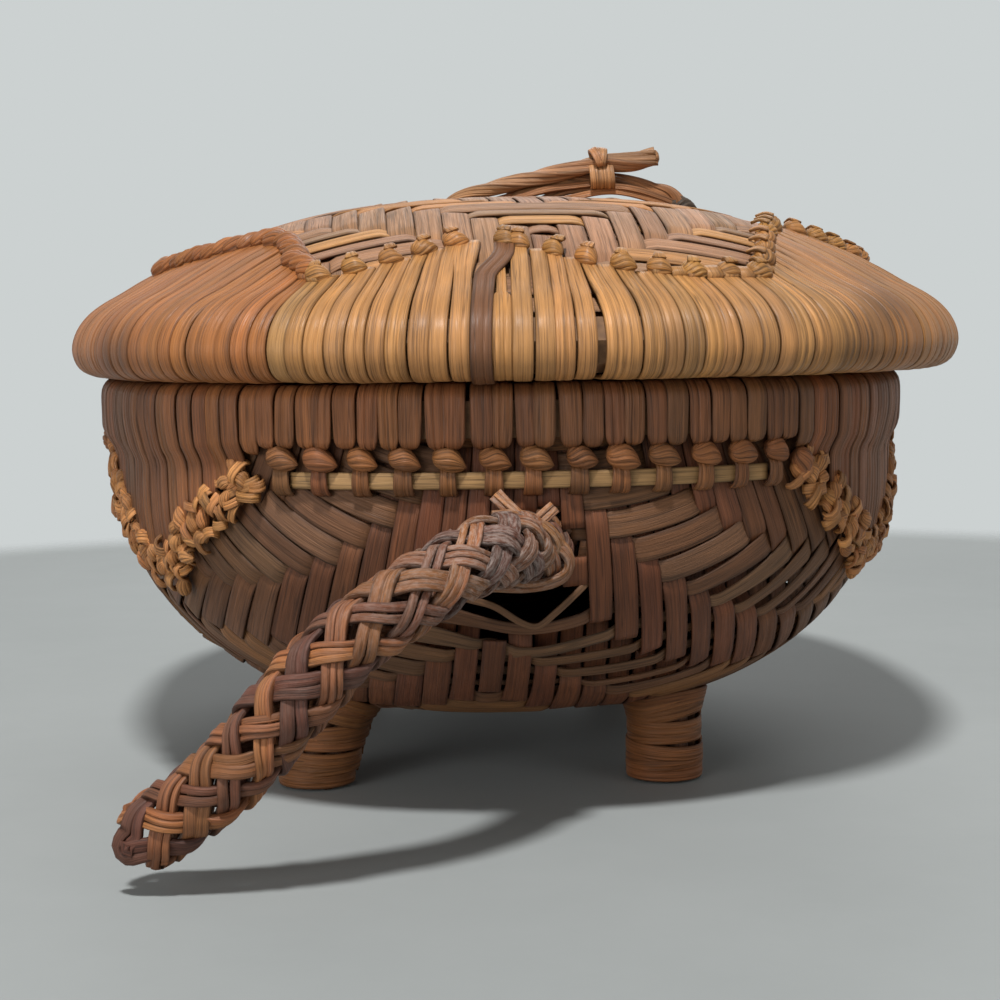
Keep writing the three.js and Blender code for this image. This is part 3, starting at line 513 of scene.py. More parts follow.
weave_cane = cane_material("weave_cane", rough=0.55, grain=0.45, relief=0.5)
bound_cane = cane_material("bound_cane", rough=0.48, grain=0.48, relief=0.55)
gold_cane = cane_material("gold_cane", rough=0.42, grain=0.38, relief=0.5, coat=0.1)
bamboo = cane_material("bamboo", rough=0.55, grain=0.35, relief=0.3)
braid_cane = cane_material("braid_cane", rough=0.55, grain=0.5, relief=0.5, dusty=True)

# Colours of the strips
DARK = rgb(110, 73, 46)
RED = rgb(112, 62, 38)
GREY = rgb(112, 80, 54)
HONEY = rgb(144, 98, 58)
MAUVE = rgb(164, 120, 86)
TAN = rgb(192, 136, 80)
BROWN = rgb(148, 94, 55)
UMBER = rgb(102, 65, 40)
RUSSET = rgb(140, 86, 48)
GOLD = rgb(158, 106, 60)
STRAW = rgb(170, 132, 86)
EMBER = rgb(194, 132, 78)
LEG_CANE = rgb(96, 62, 40)
LEG_TAPE = rgb(134, 84, 46)
PLUM = rgb(110, 68, 50)
TAWNY = rgb(146, 94, 54)
GOLDEN = rgb(182, 131, 80)
HONEY_GOLD = rgb(186, 132, 76)
SIENNA = rgb(166, 104, 55)
COPPER = rgb(166, 106, 50)
UMBER_WRAP = rgb(116, 76, 48)
BRASS = rgb(176, 122, 64)
WALNUT = rgb(96, 78, 62)
ARCH_TONE = rgb(160, 108, 70)
GRIP_TONE = rgb(176, 128, 88)
TIE_TONE = rgb(186, 134, 88)

# Woven surfaces
MAT_PITCH = 5.1
MAT_RISE = 0.9
MAT_TOP = BASE_RADIUS + MAT_RISE * (WALL_ARC[-1] - 1.5)
FLOAT_LENGTH = 4
WEAVE_DEPTH = 1.1
WEAVE_THICK = 0.62
STEP_ALONG = 1.25
SHORTEST = 3.0
FEWEST_ROWS = 3


def bowl_surface(a, b):
    """A point of the flat mat that the bowl is woven as, on the middle of the bowl's wall."""
    half = half_at(a, b)
    angle = angle_at(a, b, half)
    arc = np.maximum(0, half - BASE_RADIUS) / MAT_RISE
    wall = np.where(half > BASE_RADIUS, np.interp(arc, WALL_ARC, WALL_PROFILE[:, 0]), half)
    x, y = oval(wall, angle)
    return np.stack([x, y, np.interp(arc, WALL_ARC, WALL_PROFILE[:, 1])], -1)


def lid_surface(a, b):
    return np.stack([a, b, dome_height(half_at(a, b))], -1)


def normal_of(surface, a, b, sign):
    step = 0.4
    da = surface(a + step, b) - surface(a - step, b)
    db = surface(a, b + step) - surface(a, b - step)
    return unit(np.cross(da, db)) * sign


def over(i, j):
    """1 where lengthwise strip i passes over crosswise strip j of the twill, and -1 where it passes under."""
    return np.where((np.abs(i) + np.abs(j)) % (2 * FLOAT_LENGTH) < FLOAT_LENGTH, 1.0, -1.0)


def weave_level(i, cell, axis):
    """How high strip i lies at these places, from -1 to 1, with a short slope between over and under."""
    low = np.floor(cell)
    if axis == 0:
        here, ahead = over(i, low), over(i, low + 1)
    else:
        here, ahead = -over(low, i), -over(low + 1, i)
    return lerp(here, ahead, smooth((cell - low - 0.12) / 0.76))


def stretches(keep):
    """The slices of a strip that lie between its holes, without very short ones."""
    start = None
    for k in range(len(keep) + 1):
        inside = k < len(keep) and keep[k]
        if inside and start is None:
            start = k
        if not inside and start is not None:
            if k - start > FEWEST_ROWS:
                yield slice(start, k)
            start = None


def woven(
    strips, axis, surface, sign, top, pitch, shift, width_at, amp, colour_at, holes=(), part=None, sink=None
):
    """One set of strips of a twill mat: axis 0 runs along y and axis 1 along x."""
    reach = [top, top + LENGTH_EXTRA]
    step_a, step_b = (pitch / 2, 0) if axis == 0 else (0, pitch / 2)
    count = int(reach[axis] / pitch) + 2
    for i in range(-count, count + 1):
        fixed = shift[axis] + i * pitch
        if abs(fixed) > reach[axis] - 1.5:
            continue
        limit = reach[1 - axis] * (1 - abs(fixed / reach[axis]) ** PLAN_EXPONENT) ** (1 / PLAN_EXPONENT)
        if limit < SHORTEST:
            continue
        run = np.arange(-limit, limit, STEP_ALONG)
        still = np.full_like(run, fixed)
        a, b = (still, run) if axis == 0 else (run, still)
        if part and axis == 1:
            b = part(a, b)
        height = amp * weave_level(i, (run - shift[1 - axis]) / pitch, axis)
        point = surface(a, b)
        out = normal_of(surface, a, b, sign)
        tangent = unit(np.gradient(point, axis=0))
        across = surface(a + step_a, b + step_b) - surface(a - step_a, b - step_b)
        across = across - tangent * (across * tangent).sum(-1, keepdims=True)
        room = np.linalg.norm(across, axis=-1)
        width = np.minimum(room, width_at(point, axis)) * (1 + 0.08 * smooth((point[:, 1] - 5) / 10))
        width = width * (1 + rng.uniform(-0.05, 0.02) + 0.03 * ripple(run / 7))
        if sink and axis == 0:
            height = height - sink(point, height)
        path = point + out * (height - WEAVE_THICK / 2 - WEAVE_DEPTH)[:, None]
        out = unit(out + unit(across) * rng.uniform(-0.14, 0.14))
        shade = colour_at(i, axis)
        keep = np.ones(len(run), bool)
        for hole in holes:
            keep &= ~hole(point)
        seed = rng.uniform(0, 900)
        for part_of in stretches(keep):
            strips.strip(path[part_of], out[part_of], width[part_of], WEAVE_THICK, shade, seed=seed)


# Weave of the bowl, with holes for the legs and braids
TAIL_OPENING = (-0.7, 42.2)
TAIL_OPENING_SIZE = (13.0, 5.8)


def leg_hole(point):
    hit = np.zeros(len(point), bool)
    for x, y, lean in LEGS:
        axis_x = x - math.tan(math.radians(lean)) * point[:, 2]
        near = np.hypot(point[:, 0] - axis_x, point[:, 1] - y) < LEG_CORE + 0.2
        hit |= near & (point[:, 2] < 30)
    return hit


def tail_hole(point):
    away = np.hypot(point[:, 0] - TAIL_X, point[:, 2] - TAIL_Z)
    return (away < TAIL_RADIUS + 0.2) & (point[:, 1] < 0)


def head_hole(point):
    away = np.hypot(point[:, 0], point[:, 2] - HEAD_Z)
    return (away < HEAD_NECK + 0.3) & (point[:, 1] > 0)


def under_tail(point):
    """The dark opening under the tail's root, where the lengthwise strips are pushed in."""
    away = ((point[:, 0] - TAIL_OPENING[0]) / TAIL_OPENING_SIZE[0]) ** 2
    away = away + ((point[:, 2] - TAIL_OPENING[1]) / TAIL_OPENING_SIZE[1]) ** 2
    return (away < 1) & (point[:, 1] < 0)


def parted(a, b):
    """Crosswise strips are pushed up and down round the opening under the tail's root."""
    arc = np.interp(TAIL_OPENING[1], WALL_PROFILE[:, 1], WALL_ARC)
    middle = -(BASE_RADIUS + LENGTH_EXTRA + MAT_RISE * arc)
    near = np.exp(-(((a - TAIL_OPENING[0]) / 11.5) ** 2) - ((b - middle) / 9) ** 2)
    return b + 5.6 * np.tanh((b - middle) / 1.4) * near


def slack(point):
    """How loosely the bowl is woven here: most at the lower right of its front end."""
    low = smooth((52 - point[:, 2]) / 10) * smooth((point[:, 0] + 22) / 14) * (point[:, 1] < 0)
    return low * (1 - smooth((26 - point[:, 2]) / 6))


def bowl_width(point, axis):
    return 5.15 - (2.3 if axis == 1 else 0.7) * slack(point)


def bowl_sink(point, height):
    """How far a strip lies behind its place, where it passes under others in the loose part."""
    return 2.8 * slack(point) * smooth(-height)


def bowl_colour(i, axis):
    if axis == 0:
        mix = smooth((14 - abs(i - 2)) / 10) if abs(i) < 16 else 0
        return vary(lerp(DARK, RED, mix * 0.8), 0.14)
    choice = rng.uniform()
    tone = HONEY if choice < 0.34 else GREY if choice < 0.55 else DARK
    return vary(tone, 0.12)


def bowl_weave(axis, name, *holes):
    strips = Strips()
    woven(
        strips, axis, bowl_surface, sign=-1, top=MAT_TOP, pitch=MAT_PITCH, shift=(-7.2, 1.2),
        width_at=bowl_width, amp=0.62, colour_at=bowl_colour,
        holes=(leg_hole, tail_hole, head_hole, *holes), part=parted, sink=bowl_sink,
    )
    for points in strips.co:
        points[:, 0] += BOWL_X
    strips.piece(name, weave_cane, "basket", "dark_cane", "woven_bowl")


def loose_strip():
    """A loose strip that sags across the opening under the tail."""
    route = [
        (-19, -96.6, 47.6), (-15.8, -98.6, 45.7), (-10.6, -98.5, 44.1), (-5.6, -97.2, 40.8),
        (-2.5, -96.8, 39.9), (0.5, -97.4, 42.2), (5.0, -97.9, 46.4), (7.5, -96.2, 48.8),
    ]
    strips = Strips()
    strips.strip(smoothed(route, 40), (0.0, -1.0, -0.25), 1.3, 0.5, vary(GREY, 0.1))
    strips.piece("bowl_weave_loose_strip", weave_cane, "basket", "dark_cane")


bowl_weave(0, "bowl_weave_lengthwise", under_tail)
bowl_weave(1, "bowl_weave_crosswise")
loose_strip()


# Weave of the lid
def lid_width(point, axis):
    return 5.35


def lid_colour(i, axis):
    if axis == 0:
        return vary(MAUVE, 0.12)
    return vary(TAN if rng.uniform() < 0.6 else MAUVE, 0.12)


def lid_weave(axis, name):
    strips = Strips()
    woven(
        strips, axis, lid_surface, sign=1, top=DOME_RADIUS - 0.5, pitch=5.3, shift=(1.0, -0.5),
        width_at=lid_width, amp=0.55, colour_at=lid_colour,
    )
    strips.piece(name, weave_cane, "lid", "dark_cane", "woven_lid")


lid_weave(0, "lid_weave_lengthwise")
lid_weave(1, "lid_weave_crosswise")


# Wrapped rims
def along_profile(profile, angles, shift_x=0.0):
    """Points and normals of a path that follows a section's [half width, height] while it turns."""
    x, y = oval(profile[:, 0], angles)
    points = np.stack([x + shift_x, y, profile[:, 1]], -1)
    slope = np.gradient(profile, axis=0)
    length = np.maximum(np.hypot(slope[:, 0], slope[:, 1]), 1e-9)
    flat = plan_normal(profile[:, 0], angles)
    out = np.concatenate([flat * (slope[:, 1] / length)[:, None], (-slope[:, 0] / length)[:, None]], 1)
    return points, out


def match_edges(upper_half, lower_of, anchors, phase):
    """Angles evenly round one edge of a binding, and the angles where the same wraps end on its other edge.

    At the anchors, in degrees, both edges have the same angle.
    """
    count = len(phase)
    grid = np.linspace(0, TAU, 7201)
    upper = arc_length(np.stack(oval(np.full_like(grid, upper_half), grid), 1))
    half, z = lower_of(grid)
    lower = arc_length(np.stack([*oval(half, grid), z], 1))
    tops = np.interp((np.arange(count) + phase) / count * upper[-1], upper, grid)
    marks = np.sort(np.radians(anchors) % TAU)
    marks = np.append(marks, marks[0] + TAU)
    wide_grid = np.append(grid, grid[1:] + TAU)
    wide_upper = np.append(upper, upper[1:] + upper[-1])
    wide_lower = np.append(lower, lower[1:] + lower[-1])
    bottoms = []
    for top in tops:
        k = np.searchsorted(marks, top, "right") - 1
        here = top
        if k < 0:
            here = top + TAU
            k = len(marks) - 2
        u0, u1, u = np.interp([marks[k], marks[k + 1], here], wide_grid, wide_upper)
        l0, l1 = np.interp([marks[k], marks[k + 1]], wide_grid, wide_lower)
        bottoms.append(np.interp(lerp(l0, l1, (u - u0) / (u1 - u0)), wide_lower, wide_grid))
    return tops, np.array(bottoms)


def nearest_wrap(tops, fold):
    """The wrap that comes over the rim nearest to this fold from the front end."""
    return int(np.argmin(np.abs(half_turn(np.degrees(tops) + 90 - fold))))


def quadrants(*folds):
    """The angles in degrees that lie at these folds from an end, all round."""
    return [q for f in folds for q in (-90 + f, -90 - f, 90 + f, 90 - f)]


def spread_widths(paths, most):
    """How wide each wrap may be at each point, from the room between its neighbours."""
    tangent = unit(np.gradient(paths, axis=1))
    ahead = np.roll(paths, -1, 0) - np.roll(paths, 1, 0)
    ahead = ahead - tangent * (ahead * tangent).sum(-1, keepdims=True)
    room = np.linalg.norm(ahead, axis=-1) / 2
    return np.clip(room * 0.985, 1.2, most)


# Binding of the bowl's rim
BOWL_WRAPS = 156
BOWL_WRAP_WIDTH = 4.25
BOWL_WRAP_ROWS = 46
BOWL_SLIT_FOLD = -46
FOOT_TAPER = [0.4, 0.66, 0.84, 0.94, 0.98]
# The section from the hoop over the rim and down inside, as (half width, height)
OVER_RIM = [
    (RIM_OUTER, 76.5), (RIM_OUTER, 80.6), (RIM_OUTER - 0.5, 82.6), (RIM_OUTER - 1.9, 84.0),
    (RIM_OUTER - 3.6, RIM_TOP), (RIM_INNER + 3.4, RIM_TOP), (RIM_INNER + 1.6, 83.9), (RIM_INNER + 0.4, 82.4),
    (RIM_INNER, 80.0), (RIM_INNER, 76.5), (RIM_INNER + 0.6, 73.6), (79.6, 70.2), (80.4, 69.6),
]


def bowl_lower(angle):
    z = band_edge(angle)
    return face_half(z), z


def bowl_wrap_angles():
    """Where each wrap crosses the rim and where it ends, and whether that is on the straight edge."""
    phase = 0.5 + rng.uniform(-0.1, 0.1, BOWL_WRAPS)
    tops, bottoms = match_edges(RIM_OUTER, bowl_lower, quadrants(0, 33, 53, 73, 90), phase)
    in_band = band_edge(bottoms) > BAND_LOW - 1.5
    # each pair of wraps draws together at its foot, where one knot holds both
    pull = 0.05 * TAU / BOWL_WRAPS
    bottoms = bottoms + np.where(in_band, np.where(np.arange(BOWL_WRAPS) % 2, -pull, pull), 0)
    slit = nearest_wrap(tops, BOWL_SLIT_FOLD)
    tops[: slit + 1] -= 0.2 * TAU / BOWL_WRAPS * np.exp(-np.arange(slit, -1, -1) / 2.0)
    return tops, bottoms, in_band


def bowl_wrap(top, bottom):
    """The line of a wrap from its foot up over the rim and down inside, with outward normals."""
    low = band_edge(bottom)
    z = np.linspace(low, HOOP_BOTTOM, 9)
    outer = np.stack([face_half(z), z], 1)
    foot = (outer[0, 0] - 1.2, low - 0.5)
    profile = smoothed(np.vstack([foot, outer[:-1], OVER_RIM]), BOWL_WRAP_ROWS)
    turn = smooth((profile[:, 1] - low) / (RIM_TOP - low))
    turn[np.argmax(profile[:, 1]) :] = 1
    points, out = along_profile(profile, lerp(bottom, top, turn**0.8), BOWL_X)
    return points, facing(out, 20, [math.cos(top), math.sin(top), 0])


def bowl_wrap_tone(bottom):
    """Brown with painted light at the front left, painted shade at the right and far left, and russet in the
    points.
    """
    fold = fold_at(bottom)
    # painted shade: the wraps darken from the front towards the right side, and at the far left end
    shaded = max(0.6 * smooth((fold + 22) / 24), smooth((-44 - fold) / 8))
    tone = lerp(BROWN, UMBER, shaded * 0.8 + rng.uniform(0, 0.2))
    # painted light: the wraps at the front left are made lighter
    tone = tone * (1 + 0.16 * smooth((-fold - 2) / 14) * (1 - shaded))
    in_point = band_edge(bottom) < BAND_LOW - 3
    return lerp(tone, RUSSET, smooth(in_point * (0.25 + rng.uniform(0, 0.5))))


def bowl_rim_wraps(tops, bottoms):
    lines = [bowl_wrap(top, bottom) for top, bottom in zip(tops, bottoms)]
    widths = spread_widths(np.array([points for points, _ in lines]), BOWL_WRAP_WIDTH)
    thin = np.ones(BOWL_WRAP_ROWS)
    thin[: len(FOOT_TAPER)] = FOOT_TAPER
    strips = Strips()
    for (points, out), width, bottom in zip(lines, widths, bottoms):
        tone = bowl_wrap_tone(bottom)
        width = width * (1 + 0.03 * ripple(np.linspace(0, 9, BOWL_WRAP_ROWS))) * thin
        lift = rng.uniform(-0.2, 0.08)
        section = either(0.5)
        strips.strip(points - out * CANE, out, width, CANE, vary(tone, 0.13), section, base=lift)
    strips.piece("bowl_rim_wraps", bound_cane, "basket", "brown_cane", "bowl_rim_binding")


bowl_tops, bowl_bottoms, in_band = bowl_wrap_angles()
bowl_rim_wraps(bowl_tops, bowl_bottoms)


# Knots along the lower edge of the bowl's binding
EDGING_DEPTHS = (-1.2, -0.1, 1.0, 2.1, 3.2, 4.3, 5.3)


def axes_on(ends, out, upward):
    """Right, up and out directions at the middle one of three points of an edge."""
    right = unit(ends[2] - ends[0])
    right = unit(right - out * (right @ out))
    up = np.cross(right, -out)
    return right, up if up @ upward > 0 else -up, out


def edge_place(angle):
    """A place on the lower edge of the bowl's binding, with its right, up and out directions."""
    step = 0.012
    ends = []
    for a in (angle - step, angle, angle + step):
        z = band_edge(a)
        x, y = oval(wall_half(z) + GAP, a)
        ends.append(np.array([x + BOWL_X, y, z]))
    z = ends[1][2]
    out = unit(np.append(plan_normal(wall_half(z), angle), -wall_slope(z)))
    return ends[1], axes_on(ends, out, np.array([0, 0, 1.0]))


def knot(strips, centre, axes, size, tint, lean=0.0, length=1.0):
    """A turban knot that points to the right."""
    right, up, out = axes
    c, s = math.cos(lean), math.sin(lean)
    turned = (right * c + up * s, up * c - right * s, out)
    radii = (2.95 * size * length, 2.45 * size, 2.1 * size)
    ridges = int(rng.integers(9, 12))
    depth = rng.uniform(0.08, 0.13)
    twist = rng.uniform(0.2, 0.8)
    strips.turban(centre, turned, radii, tint, ridges, depth, twist, 0.85 * size)


def crumpled_loop(strips, centre, axes, size, tint):
    """One loop of a strip that stands up from the surface."""
    right, up, out = axes
    way = rng.uniform(0, TAU)
    along = right * math.cos(way) + up * math.sin(way)
    cross = right * -math.sin(way) + up * math.cos(way)
    t = np.linspace(-0.4, math.pi + 0.4, 9)[:, None]
    tilt = rng.uniform(-0.5, 0.5)
    radius = 1.5 * size * (1 + 0.2 * ripple(t * 2))
    path = centre + radius * (np.cos(t) * along + np.sin(t) * (out * 0.7 + cross * tilt))
    away = np.cos(t) * along + np.sin(t) * out
    width = rng.uniform(1.3, 2.1) * size
    strips.strip(path, away, width, 0.5 * size, tint, either(0.4))


def knot_foot(feet, angle, tone):
    """The end of the knot's strip, that goes down over the splint."""
    z = np.array([69.6, 68.9, 68.2, 67.3, 66.2, 65.2, 64.6])
    stand = np.array([0.4, 1.2, 1.65, 1.7, 1.65, 1.2, 0.2])
    profile = smoothed(np.stack([wall_half(z) + stand, z], 1), 14)
    points, away = along_profile(profile, np.full(14, angle), BOWL_X)
    away = facing(away, 7, np.append(plan_normal(85.0, angle), 0))
    width = rng.uniform(3.2, 3.9) * np.linspace(0.8, 1.05, 14)
    feet.strip(points, away, width, 0.6, vary(tone * 0.8, 0.1), SPLIT)


def crowded_edging(strips, place, axes):
    """Small knots and loops in rows along a hanging point of the binding."""
    right, up, out = axes
    for depth in EDGING_DEPTHS:
        spot = place - up * (depth + rng.normal(0, 0.4)) + right * rng.normal(0, 0.9)
        spot = spot + out * rng.uniform(0.3, 1.2)
        tone = vary(EMBER, 0.2, 0.05)
        if rng.uniform() < 0.4:
            knot(strips, spot + out * 0.3, axes, rng.uniform(0.55, 0.75), tone, rng.uniform(-1.5, 1.5))
        else:
            crumpled_loop(strips, spot, axes, rng.uniform(0.9, 1.25), tone)


def bowl_knots(bottoms, in_band):
    strips, feet = Strips(), Strips()
    for k, bottom in enumerate(bottoms):
        if in_band[k] and k % 2:
            continue
        after = bottoms[(k + 1) % BOWL_WRAPS]
        angle = (bottom + after) / 2 if in_band[k] and abs(after - bottom) < 0.2 else bottom
        place, axes = edge_place(angle)
        if not in_band[k]:
            crowded_edging(strips, place, axes)
            continue
        size = rng.uniform(0.9, 1.0)
        tone = vary(lerp(BROWN, GOLD, rng.uniform(0.0, 0.55)), 0.12)
        centre = place - axes[1] * (GAP + 1.6) + axes[2] * (1.55 * size)
        knot(strips, centre, axes, size, tone, rng.uniform(-0.15, 0.1), rng.uniform(0.9, 1.03))
        knot_foot(feet, angle + rng.uniform(-0.004, 0.004), tone)
    strips.piece("bowl_knots", bound_cane, "basket", "gold_cane", "bowl_knot_edging")
    feet.piece("bowl_knot_feet", bound_cane, "basket", "gold_cane")


bowl_knots(bowl_bottoms, in_band)


# Flat splints that the knots hold
SPLINT_Z = 66.9
SPLINT_HEIGHT = 3.1
# Name, middle and half span in degrees
SPLINTS = [
    ("front_splint", -90, 25.5),
    ("rear_splint", 90, 25.5),
    ("left_splint", 180, 9.5),
    ("right_splint", 0, 9.5),
]


def splint(name, middle, span):
    angle = np.radians(np.linspace(middle - span - 4, middle + span + 4, 60))
    x, y = oval(np.full(60, wall_half(SPLINT_Z) + GAP), angle)
    path = np.stack([x + BOWL_X, y, np.full(60, SPLINT_Z)], 1)
    strips = Strips()
    strips.strip(path, level_normals(np.full(60, wall_half(SPLINT_Z)), angle), SPLINT_HEIGHT, 1.0, STRAW)
    strips.piece(name + "_cane", bamboo, "basket", "pale_bamboo", name)


for name, middle, span in SPLINTS:
    splint(name, middle, span)


# Legs
def coil(
    strips, centre, radius, pitch, width, thick, tint, per_turn=18, section=ROUND, squash=(1, 1), turned=0.0
):
    """A strip wound round a path."""
    arc = arc_length(centre)
    count = max(6, int(arc[-1] / pitch * per_turn))
    at = np.linspace(0, arc[-1], count)
    path = points_at(centre, arc, at)
    _, across, other = frame_rows(path)
    turn = at / pitch * TAU
    u = np.cos(turn) * squash[0]
    v = np.sin(turn) * squash[1]
    c, s = math.cos(turned), math.sin(turned)
    u, v = u * c - v * s, u * s + v * c
    spoke = across * u[:, None] + other * v[:, None]
    strips.strip(path + spoke * radius, unit(spoke), width, thick, tint, section)


def under_bowl(x, y):
    """Height of the bowl's outside over a place of the floor, for places under the bowl."""
    return np.interp(half_at(x, y), WALL_PROFILE[:, 0], WALL_PROFILE[:, 1])


def leg_line(leg, z):
    """Points of a leg's axis at these heights."""
    x, y, lean = leg
    z = np.asarray(z, float)
    return np.stack([BOWL_X + x + -math.tan(math.radians(lean)) * z, np.full_like(z, y), z], -1)


def leg_canes(leg, name):
    """Six round canes about a seventh."""
    strips = Strips()
    for k in range(7):
        turn = k * TAU / 6 + rng.uniform(-0.1, 0.1)
        away = np.array([math.cos(turn), math.sin(turn), 0.0])
        spot = away * (0 if k == 6 else 4.45)
        foot = rng.uniform(0.05, 0.5) if k else 0.0
        head = 25.8 - rng.uniform(0, 0.8)
        path = leg_line(leg, np.linspace(foot, head, 12)) + spot
        strips.strip(path - away * 2.2, away, 4.3, 4.4, vary(LEG_CANE, 0.15), ROUND)
    # a leaning cane's end stays on the floor
    for points in strips.co:
        points[:, 2] = np.maximum(points[:, 2], 0.02)
    strips.piece("leg_canes_" + name, bound_cane, "basket", "brown_cane", "leg_core_" + name)


def leg_wraps(leg, name):
    """Turns of a wide strip round the leg, and three more close under the bowl."""
    strips = Strips()
    turns = rng.uniform(0, TAU)
    around = np.linspace(0, TAU * 1.04, 44)
    spoke = np.stack([np.cos(around), np.sin(around), 0 * around], 1)
    for k, middle in enumerate(np.arange(1.9, 13.0, 2.5)):
        z = middle + 0.4 * np.cos(around - turns - k * 2.4) + 2.0 * (around / TAU - 0.5) * (k % 2 - 0.5)
        reach = LEG_CORE + 0.2 + 0.12 * (k % 3) + 0.15 * np.cos(around * 2 + k)
        tape = rng.uniform(3.0, 4.0)
        z = np.maximum(z, tape / 2 + 0.5)
        strips.strip(leg_line(leg, z) + spoke * reach[:, None], spoke, tape, 0.7, vary(LEG_TAPE, 0.1), SPLIT)
    for k, below in enumerate([3.9, 2.2, 0.9]):
        reach = LEG_CORE + 0.5 + 0.35 * k
        level = leg_line(leg, np.full(44, 17.0)) + spoke * reach
        z = under_bowl(level[:, 0] - BOWL_X, level[:, 1]) - below
        ring = leg_line(leg, z) + spoke * reach
        ring[:, 2] += 0.25 * np.cos(around * 2 + k * 2)
        strips.strip(ring, spoke + [0, 0, -0.25], 2.6, 0.7, vary(LEG_TAPE * 0.9, 0.1), SPLIT)
    strips.piece("leg_wraps_" + name, bound_cane, "basket", "gold_cane", "leg_winding_" + name)


def leg_lashing(leg, name):
    strips = Strips()
    low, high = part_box("leg_tie_" + name)
    line = leg_line(leg, np.linspace(low.z / MM + 0.4, high.z / MM - 0.4, 20))
    coil(strips, line, LEG_CORE + 0.2, pitch=0.9, width=1.1, thick=1.5, tint=vary(UMBER, 0.1))
    strips.piece("leg_lashing_" + name, bound_cane, "basket", "brown_cane", "leg_tie_" + name)


for leg, name in zip(LEGS, LEG_NAMES):
    leg_canes(leg, name)
    leg_wraps(leg, name)
    leg_lashing(leg, name)


# Braids
STRAND_THICK = 1.2
# How plum-coloured each strand is, in turn
STRAND_MIX = [0.05, 0.85, 0.2, 0.45, 1.0, 0.1, 0.55]


def braid_colour(k):
    return vary(lerp(TAWNY, PLUM, STRAND_MIX[k % 7]), 0.12, 0.03)


def split_strand(strips, path, spokes, width, thick, tint, fibres, dust):
    """A strand as a few fibres that lie beside each other."""
    tangent = unit(np.gradient(path, axis=0))
    side = unit(np.cross(tangent, spokes))
    arc = arc_length(path)
    each = width / fibres
    for j in range(fibres):
        place = (j - (fibres - 1) / 2) * each
        sway = 0.22 * ripple(arc / rng.uniform(5, 9)) + 0.1 * ripple(arc / 2.3)
        lift = 0.16 * ripple(arc / rng.uniform(4, 7)) - 0.25 * (place / width) ** 2
        line = path + side * (place + sway)[:, None] + spokes * lift[:, None]
        room = each * rng.uniform(0.95, 1.2) * (1 + 0.12 * ripple(arc / 6))
        depth = thick * rng.uniform(0.8, 1.1)
        strips.strip(line, spokes, room, depth, vary(tint, 0.16, 0.05), FLAT, dust=dust)


def braid(strips, route, radius, families, pitch, width, amp, end_bow, dusty):
    """A hollow tubular braid. Each strand runs out one way round and comes back the other way."""
    arc = arc_length(route)
    crossings = int(round(2 * families * arc[-1] / pitch)) + 0.5
    count = int(crossings * 9)
    at = np.linspace(0, arc[-1], count)
    path = points_at(route, arc, at)
    tangent, across, other = frame_rows(path)
    size = np.interp(at, arc, radius)
    dust = np.interp(at, arc, dusty)
    phase = at / arc[-1] * crossings
    turn = phase * math.pi / families

    def row(begin, way):
        stray = 0.06 * ripple(at / rng.uniform(9, 16))
        angle = begin + way * turn + stray
        spoke = across * np.cos(angle)[:, None] + other * np.sin(angle)[:, None]
        wave = way * amp * np.cos(phase * math.pi)
        return path + spoke * (size + wave)[:, None], spoke

    for k in range(families):
        begin = k * TAU / families
        out_path, out_spoke = row(begin, 1)
        end_angle = begin + turn[-1]
        # the strand that stands half a gap further round comes back
        back_path, back_spoke = row(end_angle + math.pi / families + turn[-1], -1)
        mids = np.linspace(0, 1, 9)[1:-1]
        angles = end_angle + mids * math.pi / families
        spoke = across[-1] * np.cos(angles)[:, None] + other[-1] * np.sin(angles)[:, None]
        bow = np.sin(mids * math.pi)[:, None]
        loop = path[-1] + spoke * size[-1] + tangent[-1] * bow * width * rng.uniform(*end_bow)
        joined = np.vstack([out_path, loop, back_path[::-1]])
        spokes = np.vstack([out_spoke, spoke + tangent[-1] * bow * 0.6, back_spoke[::-1]])
        dusts = np.concatenate([dust, np.full(len(mids), dust[-1]), dust[::-1]])
        strand = width * rng.uniform(0.82, 1.12)
        tint = braid_colour(k)
        split_strand(strips, joined, unit(spokes), strand, STRAND_THICK, tint, int(rng.integers(2, 4)), dusts)


def root_lashing(name, node, x, z, radius):
    """Canes wound round the root of a braid, where it meets the bowl."""
    strips = Strips()
    low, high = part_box(node)
    y = (low.y + high.y) / 2 / MM
    line = np.stack([np.full(20, x), np.linspace(y - 1.3, y + 1.3, 20), np.full(20, z)], 1)
    coil(strips, line, radius, pitch=1.3, width=1.6, thick=2.2, tint=UMBER)
    strips.piece(name, bound_cane, "basket", "brown_cane", node)


# Tail, with loops and loose ends where its strands turn round at the wall
TAIL_POINTS = [
    (2, -87.9, 54.5), (1.6, -94, 54.5), (-0.2, -100.4, 54.5), (-2.8, -104.8, 54.9), (-10.2, -117.3, 55.6),
    (-21.2, -126.1, 51.2), (-32.8, -128.6, 43.6), (-43.0, -128.0, 33.1), (-53.8, -124.7, 20.8),
    (-67.0, -119.9, 10.2),
]
ROOT_LOOPS = [
    [
        (-11, -108.5, 60.5), (-6, -106.8, 60.6), (-1.4, -106.0, 58.6), (0.6, -105.6, 55.6),
        (-0.8, -106.0, 53.0), (-6, -108.5, 52.0), (-12, -112, 52.5),
    ],
    [
        (-12, -110.5, 55.8), (-6, -108.6, 57.4), (-1, -106.4, 56.0), (2.0, -105.2, 53.0),
        (0.8, -105.6, 50.0), (-5, -107.8, 48.9), (-12, -111.5, 50.0),
    ],
]
LOOSE_ENDS = [
    [(-10.4, -104.2, 64.4), (-7.8, -105.6, 61.8), (-4.8, -107.0, 59.0)],
    [(0.0, -104.0, 61.8), (-2.8, -105.8, 59.8), (-6.0, -107.4, 57.6)],
]
